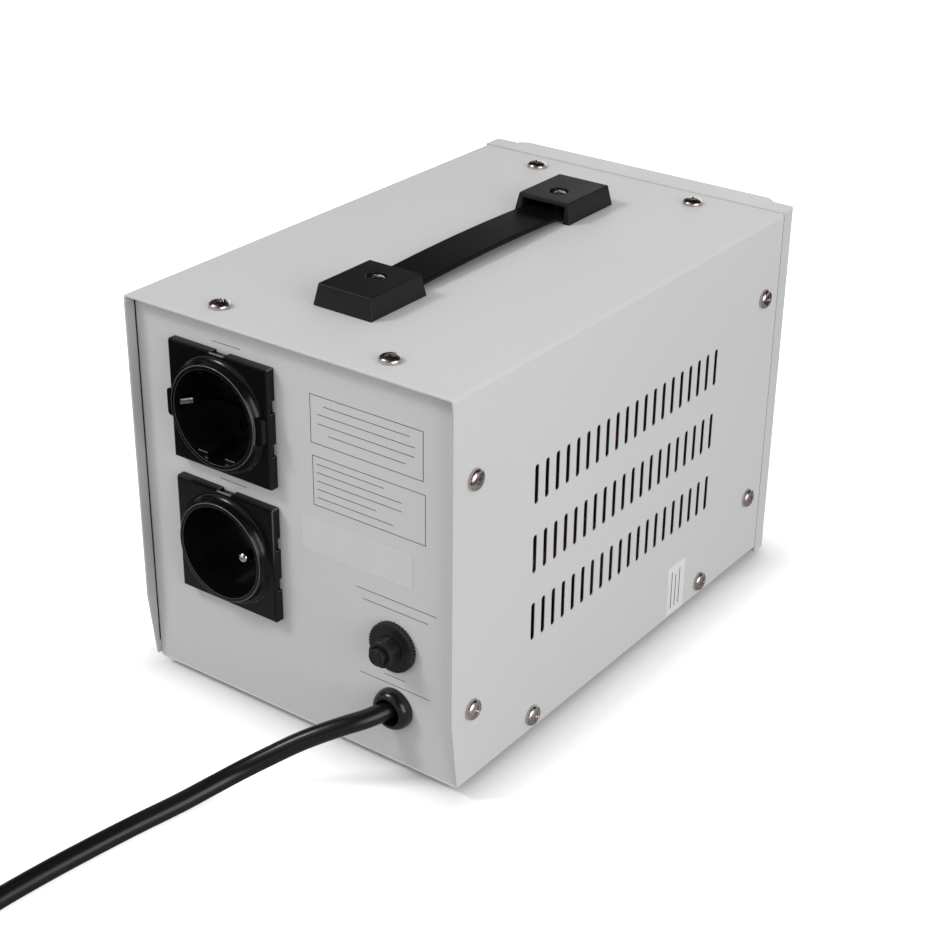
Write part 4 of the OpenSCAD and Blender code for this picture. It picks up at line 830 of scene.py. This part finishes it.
handle_head = dome_screw(
    handle_screw_radius, handle_screw_height, handle_screw_rim, screw_shank_radius, handle_screw_shank
)
handle_screws = set_down(
    "cap_screws", copies_at(handle_head, handle_places), screw_chrome, ["handle_screws"],
    crease=screw_crease,
)
cap_screw_round = 0.0001
soften(handle_screws, cap_screw_round, angle=screw_soft_angle)
recoat("handle_nuts", zinc)

# Sockets
# Two round mains outlets snap into the rear panel from outside, each with a square plate, a raised
# collar and a deep well. The upper one has spring earth strips in its sides, the lower an earth pin.
moulded_grain = {"spread": 0.05, "grain_scale": 900, "bump": 0.06, "depth": 0.00004}
socket_plastic = finish(
    "black socket plastic", (0.0035, 0.0035, 0.0037), rough=0.22, specular=0.28, **moulded_grain,
)
# Painted highlight: the rounded edges of the sockets take a lighter plastic, as thin bright lines.
socket_edge_highlight = finish("painted highlight on the socket edges", (0.085, 0.085, 0.088), rough=0.3, **moulded_grain)
plate_low, plate_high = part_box("pin_socket_body")
socket_x = (plate_low.x + plate_high.x) / 2
pin_socket_z = (plate_low.z + plate_high.z) / 2
socket_pitch = 0.0585
clip_socket_z = pin_socket_z + socket_pitch
collar_foot_radius = 0.0240
collar_crest_radius = 0.0215
collar_rise = 0.0039
collar_steps = 12
collar_turn_steps = 96
collar_cut_radius = 0.0246
collar_cut_height = 0.0092
plate_thickness = 0.0045
flare_angles = [math.pi / 2 * step / collar_steps for step in range(collar_steps + 1)]
collar_outline = [
    (
        collar_foot_radius - (collar_foot_radius - collar_crest_radius) * math.sin(angle),
        plate_thickness + collar_rise * (1 - math.cos(angle)),
    )
    for angle in flare_angles
] + [
    (collar_crest_radius, collar_cut_height), (collar_cut_radius, collar_cut_height),
    (collar_cut_radius, plate_thickness), (collar_foot_radius, plate_thickness),
]
ear_low_radius = 0.0212
ear_high_radius = 0.0242
ear_half_height = 0.0058
ear_top = 0.0071
ear_base = 0.001
ear_corner = 0.0016
plate_border = 0.0245
crest_height = 0.0078
inner_crest_radius = 0.0205
notch_half_width = 0.0036
lip_depth = 0.0012
lip_height = 0.0018
lip_set_back = 0.0001
rib_depth = 0.0145
plate_half = 0.025
shortest_top_edge = 0.003
level_within = 0.0003
socket_edge_round = 0.0005
sharpest_smooth = math.radians(32)
flat_facing = 0.9995
half_highlight_round = 0.5
slight_highlight_round = 0.2


def facing_rear(shape, height):
    bmesh.ops.transform(
        shape, verts=shape.verts,
        matrix=Matrix.Translation((socket_x, panel_face, height)) @ Matrix.Rotation(-math.pi / 2, 4, "X"),
    )
    return shape


def ear(side):
    block = bmesh.new()
    bmesh.ops.create_cube(block, size=1)
    for vertex in block.verts:
        reach = ear_high_radius if vertex.co.x > 0 else ear_low_radius
        rise = ear_top if vertex.co.z > 0 else ear_base
        vertex.co = (reach, math.copysign(ear_half_height, vertex.co.y), rise)
    outer = [
        edge for edge in block.edges
        if all(vertex.co.x > (ear_low_radius + ear_high_radius) / 2 for vertex in edge.verts)
        and abs(edge.verts[0].co.z - edge.verts[1].co.z) > ear_base
    ]
    bmesh.ops.bevel(
        block, geom=outer, offset=ear_corner, segments=4, profile=0.5, affect="EDGES", material=-1,
    )
    if side < 0:
        bmesh.ops.rotate(block, verts=block.verts, cent=(0, 0, 0), matrix=Matrix.Rotation(math.pi, 3, "Z"))
    bmesh.ops.recalc_face_normals(block, faces=block.faces)
    return block


for node, name, height in (
    ("clip_socket_body", "clip_socket", clip_socket_z), ("pin_socket_body", "pin_socket", pin_socket_z),
):
    collar = facing_rear(turned(collar_outline, steps=collar_turn_steps), height)
    socket_shape = cut_away(solid_copy(node), collar)
    lip = bmesh.new()
    bmesh.ops.create_cube(lip, size=1)
    for vertex in lip.verts:
        vertex.co = (
            math.copysign(notch_half_width, vertex.co.x),
            plate_half - lip_set_back if vertex.co.y > 0 else plate_half - lip_height,
            plate_thickness - lip_set_back if vertex.co.z > 0 else plate_thickness - lip_depth,
        )
    bmesh.ops.rotate(lip, verts=lip.verts, cent=(0, 0, 0), matrix=Matrix.Rotation(math.pi, 3, "Z"))
    socket_shape = cut_away(socket_shape, facing_rear(lip, height), "UNION")
    if node == "clip_socket_body":
        for side in (-1, 1):
            socket_shape = cut_away(socket_shape, facing_rear(ear(side), height), "UNION")
    # Bevel weights pick the edges that are rounded and painted with the highlight.
    weights = socket_shape.edges.layers.float.new("bevel_weight_edge")
    centre = Vector((socket_x, panel_face, height))
    for edge in socket_shape.edges:
        if edge.calc_face_angle(0) < sharpest_smooth:
            continue
        first, second = (vertex.co - centre for vertex in edge.verts)
        lowest = min(first.y, second.y)
        along_border = all(max(abs(end.x), abs(end.z)) > plate_border for end in (first, second))
        on_top = min(first.z, second.z) > plate_border and edge.calc_length() > shortest_top_edge
        on_crest = lowest > crest_height
        radius = max(math.hypot(end.x, end.z) for end in (first, second))
        is_level = abs(first.z - second.z) < level_within
        on_rib = max(first.z, second.z) < -rib_depth and lowest > 0 and is_level
        if on_top:
            edge[weights] = 1
        elif on_crest and radius < inner_crest_radius:
            edge[weights] = slight_highlight_round
        elif along_border or on_crest or on_rib:
            edge[weights] = half_highlight_round
    socket = set_down(name, socket_shape, socket_plastic, [node])
    for polygon in socket.data.polygons:
        if polygon.normal.y > flat_facing:
            polygon.use_smooth = False
    # The bevel faces get the lighter painted-highlight plastic.
    socket.data.materials.append(socket_edge_highlight)
    soften(socket, socket_edge_round, segments=3)
    socket.modifiers["soft edges"].limit_method = "WEIGHT"
    socket.modifiers["soft edges"].material = 1
worn_nickel = finish(
    "worn nickel", (0.36, 0.31, 0.30), (0.20, 0.165, 0.16), rough=0.28, spread=0.1, patch_scale=900,
    metallic=1, bump=0.05,
)
clip_mouth = 0.0055
clip_foot = -0.0085
clip_wall_radius = 0.0202
clip_bulge = 0.0036
clip_ramp = 0.0045
clip_half_width = 0.0014
clip_crown = 0.0003
clip_thickness = 0.0005
clip_arms = bmesh.new()
for side in (-1, 1):
    arm = bmesh.ops.create_grid(clip_arms, x_segments=16, y_segments=6, size=1)["verts"]
    for vertex in arm:
        along = (vertex.co.x + 1) / 2
        across = vertex.co.y
        depth = (1 - along) * (clip_mouth - clip_foot)
        past_ramp = max(depth - clip_ramp, 0) / (clip_mouth - clip_foot - clip_ramp)
        bulge = clip_bulge * min(depth / clip_ramp, math.cos(math.pi / 2 * past_ramp))
        bulge += clip_crown * (1 - across * across)
        vertex.co = (
            socket_x + side * (clip_wall_radius - bulge),
            panel_face + clip_foot + (clip_mouth - clip_foot) * along,
            clip_socket_z + across * clip_half_width,
        )
bmesh.ops.recalc_face_normals(clip_arms, faces=clip_arms.faces)
for face in clip_arms.faces:
    if face.normal.x * (socket_x - face.calc_center_median().x) < 0:
        face.normal_flip()
clips = set_down("earth_clips", clip_arms, worn_nickel, ["clip_socket_earth_clips"])
clip_sheet = clips.modifiers.new("strip", "SOLIDIFY")
clip_sheet.thickness = clip_thickness
clip_sheet.offset = -1
recoat("pin_socket_earth_pin", bright_nickel)
recoat("clip_socket_contacts", bright_brass)
recoat("pin_socket_contacts", bright_brass)

# Circuit breaker
# A thermal breaker behind the rear panel, held by a knurled nut on its threaded neck. Its reset button
# stands in the neck and jumps out when the breaker trips.
breaker_plastic = finish(
    "breaker plastic", (0.0095, 0.0095, 0.0098), rough=0.34, grain_scale=1300, bump=0.4, depth=0.0001,
)
breaker_edge_round = 0.00012
for node, name, body in (
    ("breaker_body", "breaker", "case"), ("breaker_nut", "knurled_nut", "case"),
    ("reset_button", "trip_button", "reset"),
):
    piece = set_down(name, solid_copy(node), breaker_plastic, [node], body=body)
    soften(piece, breaker_edge_round)
recoat("breaker_blades", bright_brass)

# Bush of the mains lead
# A glossy black nylon bush snapped into the rear panel, with a domed flange and a flared mouth that
# keeps the lead from chafing.
gloss_nylon = finish(
    "glossy black nylon", (0.006, 0.006, 0.0062), rough=0.24, spread=0.05, grain_scale=700, bump=0.06,
)
bush_low, bush_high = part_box("cord_bush")
bush_centre_x = (bush_low.x + bush_high.x) / 2
bush_centre_z = (bush_low.z + bush_high.z) / 2
bush_flange = 0.0086
bush_neck = 0.0066
bush_bore = 0.0046
bush_mouth = 0.0057
bush_height = 0.005
bush_edge = 0.0010
bush_tail = 0.006
bush_throat_depth = 0.008
bush_dome_steps = 12
bush_throat_steps = 8
bush_steps = 64
dome_angles = [math.pi / 2 * step / bush_dome_steps for step in range(bush_dome_steps + 1)]
throat_angles = [math.pi / 2 * step / bush_throat_steps for step in range(1, bush_throat_steps + 1)]
bush_dome = [
    (
        bush_mouth + (bush_flange - bush_mouth) * math.cos(angle),
        bush_edge + (bush_height - bush_edge) * math.sin(angle),
    )
    for angle in dome_angles
]
bush_throat = [
    (
        bush_mouth - (bush_mouth - bush_bore) * math.sin(angle),
        bush_height - bush_throat_depth * (1 - math.cos(angle)),
    )
    for angle in throat_angles
]
bush = turned(
    [
        (bush_bore, -bush_tail), (bush_neck, -bush_tail), (bush_neck, 0), (bush_flange, 0), *bush_dome,
        *bush_throat, (bush_bore, -bush_tail),
    ],
    steps=bush_steps,
)
bush_centre = Matrix.Translation((bush_centre_x, bush_low.y + bush_tail, bush_centre_z))
bmesh.ops.transform(bush, verts=bush.verts, matrix=bush_centre @ Matrix.Rotation(-math.pi / 2, 4, "X"))
set_down("lead_bush", bush, gloss_nylon, ["cord_bush"])

# Stickers
# A pale film on the rear panel and a white paper label low on the left side. The film is bare. Plain
# ruled lines and boxes stand where print would be.
sticker_film = finish("pale film", (0.605, 0.608, 0.615), rough=0.4, grain_scale=600, speckle=0.02, bump=0.05)
label_paper = finish(
    "white label paper", (0.74, 0.743, 0.75), rough=0.55, grain_scale=900, speckle=0.03, bump=0.05,
)
ink = finish(
    "grey pad ink", (0.060, 0.060, 0.062), (0.085, 0.085, 0.088), rough=0.6, patch_scale=900,
    grain_scale=4000,
)
ink_thickness = 0.00003
rule_width = 0.0003
box_places = ((-0.0620, 0.1310, -0.0095, 0.1510), (-0.0630, 0.1050, -0.0100, 0.1260))
rule_rows = (
    (-0.056, -0.016, 0.1470), (-0.058, -0.013, 0.1432), (-0.058, -0.013, 0.1394), (-0.054, -0.018, 0.1356),
    (-0.044, -0.012, 0.1225), (-0.052, -0.012, 0.1190), (-0.052, -0.012, 0.1155), (-0.040, -0.012, 0.1120),
    (-0.048, -0.012, 0.1085), (-0.068, -0.030, 0.0765), (-0.064, -0.033, 0.0722), (-0.053, -0.043, 0.0425),
    (-0.065, -0.031, 0.0388), (0.024, 0.038, 0.1590), (0.024, 0.038, 0.1010),
)


def ruled(shape, x_low, z_low, x_high, z_high):
    corners = bmesh.ops.create_grid(shape, x_segments=1, y_segments=1, size=1)["verts"]
    for vertex in corners:
        vertex.co = (
            (x_low + x_high) / 2 - vertex.co.x * (x_high - x_low) / 2, panel_face + ink_thickness,
            (z_low + z_high) / 2 + vertex.co.y * (z_high - z_low) / 2,
        )


print_shape = bmesh.new()
for x_low, z_low, x_high, z_high in box_places:
    ruled(print_shape, x_low, z_low, x_high, z_low + rule_width)
    ruled(print_shape, x_low, z_high - rule_width, x_high, z_high)
    ruled(print_shape, x_low, z_low, x_low + rule_width, z_high)
    ruled(print_shape, x_high - rule_width, z_low, x_high, z_high)
for x_low, x_high, z_low in rule_rows:
    ruled(print_shape, x_low, z_low, x_high, z_low + rule_width)
set_down("panel_rules", print_shape, ink)
recoat("rear_sticker", sticker_film)
recoat("side_sticker", label_paper)
side_label_low, side_label_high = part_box("side_sticker")
label_margin = 0.003
label_pitch = 0.0032
first_line_share = 0.4
short_line_share = 0.7
label_lines = 3
label_rules = bmesh.new()
for row in range(label_lines):
    rule = bmesh.ops.create_grid(label_rules, x_segments=1, y_segments=1, size=1)["verts"]
    rule_y = side_label_low.y + label_margin + label_pitch * (row + first_line_share)
    rule_top = side_label_high.z - label_margin * (1 + short_line_share * (row % 2))
    rule_low = side_label_low.z + label_margin
    for vertex in rule:
        vertex.co = (
            side_label_low.x - ink_thickness, rule_y + vertex.co.x * rule_width,
            (rule_low + rule_top) / 2 + vertex.co.y * (rule_top - rule_low) / 2,
        )
set_down("label_rules", label_rules, ink)

# Front bezel and its controls
# A pale grey moulding with a smoked display window, three lamps, the power switch and the delay
# button. It is held by four screws from behind the front plate.
bezel_plastic = finish(
    "pale grey moulding", (0.580, 0.584, 0.586), (0.568, 0.572, 0.574), rough=0.42, grain_scale=1100,
    speckle=0.02, bump=0.2,
)
smoked_pane = finish(
    "smoked pane", (0.012, 0.013, 0.015), rough=0.08, spread=0.03, grain_scale=200, bump=0.02,
)
dark_digits = finish("dark red digits", (0.05, 0.010, 0.010), rough=0.3)
clear_lens = finish("pale lens", (0.55, 0.65, 0.56), rough=0.2)
rocker_black = finish("glossy rocker", (0.010, 0.010, 0.010), rough=0.22, spread=0.05, bump=0.08)
button_red = finish("red button", (0.40, 0.02, 0.015), rough=0.28, bump=0.08)
green_board = finish("green board", (0.010, 0.050, 0.022), (0.008, 0.042, 0.019), rough=0.4, patch_scale=80)
bezel_proud = 0.0005
rim_margin = 0.0006
bezel_rim_y = cover_low.y - rim_margin
shortest_edge = 0.003
bezel_shape = solid_copy("front_bezel")
for vertex in bezel_shape.verts:
    if vertex.co.z > cover_high.z - cover_sheet:
        vertex.co.z += bezel_proud
bezel_weights = bezel_shape.edges.layers.float.new("bevel_weight_edge")
for edge in bezel_shape.edges:
    before_rim = all(vertex.co.y < bezel_rim_y for vertex in edge.verts)
    on_top = all(vertex.co.z > cover_high.z - cover_sheet for vertex in edge.verts)
    sharp = edge.calc_face_angle(0) > sharpest_smooth and edge.calc_length() > shortest_edge
    edge[bezel_weights] = 1 if sharp and (before_rim or on_top) else 0
bezel = set_down("bezel", bezel_shape, bezel_plastic, ["front_bezel"])
bezel_edge_round = 0.0004
soften(bezel, bezel_edge_round, segments=3)
bezel.modifiers["soft edges"].limit_method = "WEIGHT"
front_edge_round = 0.0003
for node, name, material, slot_name, body in (
    ("display_window", "window_pane", smoked_pane, "window", "case"),
    ("switch_body", "switch_frame", cap_plastic, "black_plastic", "case"),
    ("power_rocker", "rocker", rocker_black, "rocker_black", "rocker"),
    ("delay_button", "delay_key", button_red, "button_red", "delay"),
):
    piece = set_down(name, solid_copy(node), material, [node], body=body)
    soften(piece, front_edge_round)
for node, material in (
    ("display_board", green_board), ("display_digits", dark_digits), ("indicator_lamps", clear_lens),
    ("bezel_screws", zinc), ("switch_blades", bright_brass), ("delay_switch", cap_plastic),
):
    recoat(node, material)

# Feet
# Four round black rubber pads under the base, near its corners. They keep the CAD's shape with their
# edges rounded.
foot_rubber = finish("black rubber", (0.02, 0.02, 0.02), rough=0.8, grain_scale=1200, bump=0.3)
feet = set_down("foot_pads", solid_copy("feet"), foot_rubber, ["feet"])
foot_edge_round = 0.0005
soften(feet, foot_edge_round, segments=3)

# Transformer
# A toroid on the base: a wound core inside an enamelled copper winding, held between two pads by a
# dished plate, a washer and a nut on a welded stud.
core_strip = finish("core strip", (0.30, 0.31, 0.32), rough=0.45, metallic=1, grain_scale=1600)
enamelled_copper = finish(
    "enamelled copper", (0.14, 0.026, 0.014), (0.09, 0.016, 0.010), rough=0.3, patch_scale=90,
)
for node, material in (
    ("transformer_core", core_strip), ("transformer_winding", enamelled_copper),
    ("transformer_pads", foot_rubber), ("clamp_stud", zinc), ("clamp_dish", zinc), ("clamp_washer", zinc),
    ("clamp_nut", zinc),
):
    recoat(node, material)

# Control board
# A green board stands on nylon pillars behind the front plate and carries five relays, two capacitors
# and the terminal block of the wires.
nylon = finish("natural nylon", (0.40, 0.385, 0.33), rough=0.5)
relay_blue = finish("blue relay case", (0.008, 0.026, 0.10), rough=0.35)
can_sleeve = finish("dark sleeve", (0.01, 0.02, 0.07), rough=0.25)
block_green = finish("green terminal block", (0.012, 0.09, 0.035), rough=0.45)
for node, material in (
    ("control_board", green_board), ("board_standoffs", nylon), ("board_screws", zinc),
    ("relays", relay_blue), ("capacitors", can_sleeve), ("terminal_block", block_green),
):
    recoat(node, material)

# Wires and the earth point
# Single PVC wires run from the lead and the breaker to the board and on to the sockets. The earth wire
# ends in a ring under a nut on a brass stud in the base.
wire_red = finish("red wire", (0.36, 0.010, 0.012), rough=0.35)
wire_blue = finish("blue wire", (0.010, 0.025, 0.14), rough=0.35)
wire_green = finish("green and yellow wire", (0.10, 0.16, 0.012), rough=0.35)
for node, material in (
    ("live_wire", wire_red), ("output_wire", wire_red), ("neutral_wire", wire_blue),
    ("earth_wire", wire_green), ("earth_stud", bright_brass), ("earth_nut", bright_brass),
):
    recoat(node, material)
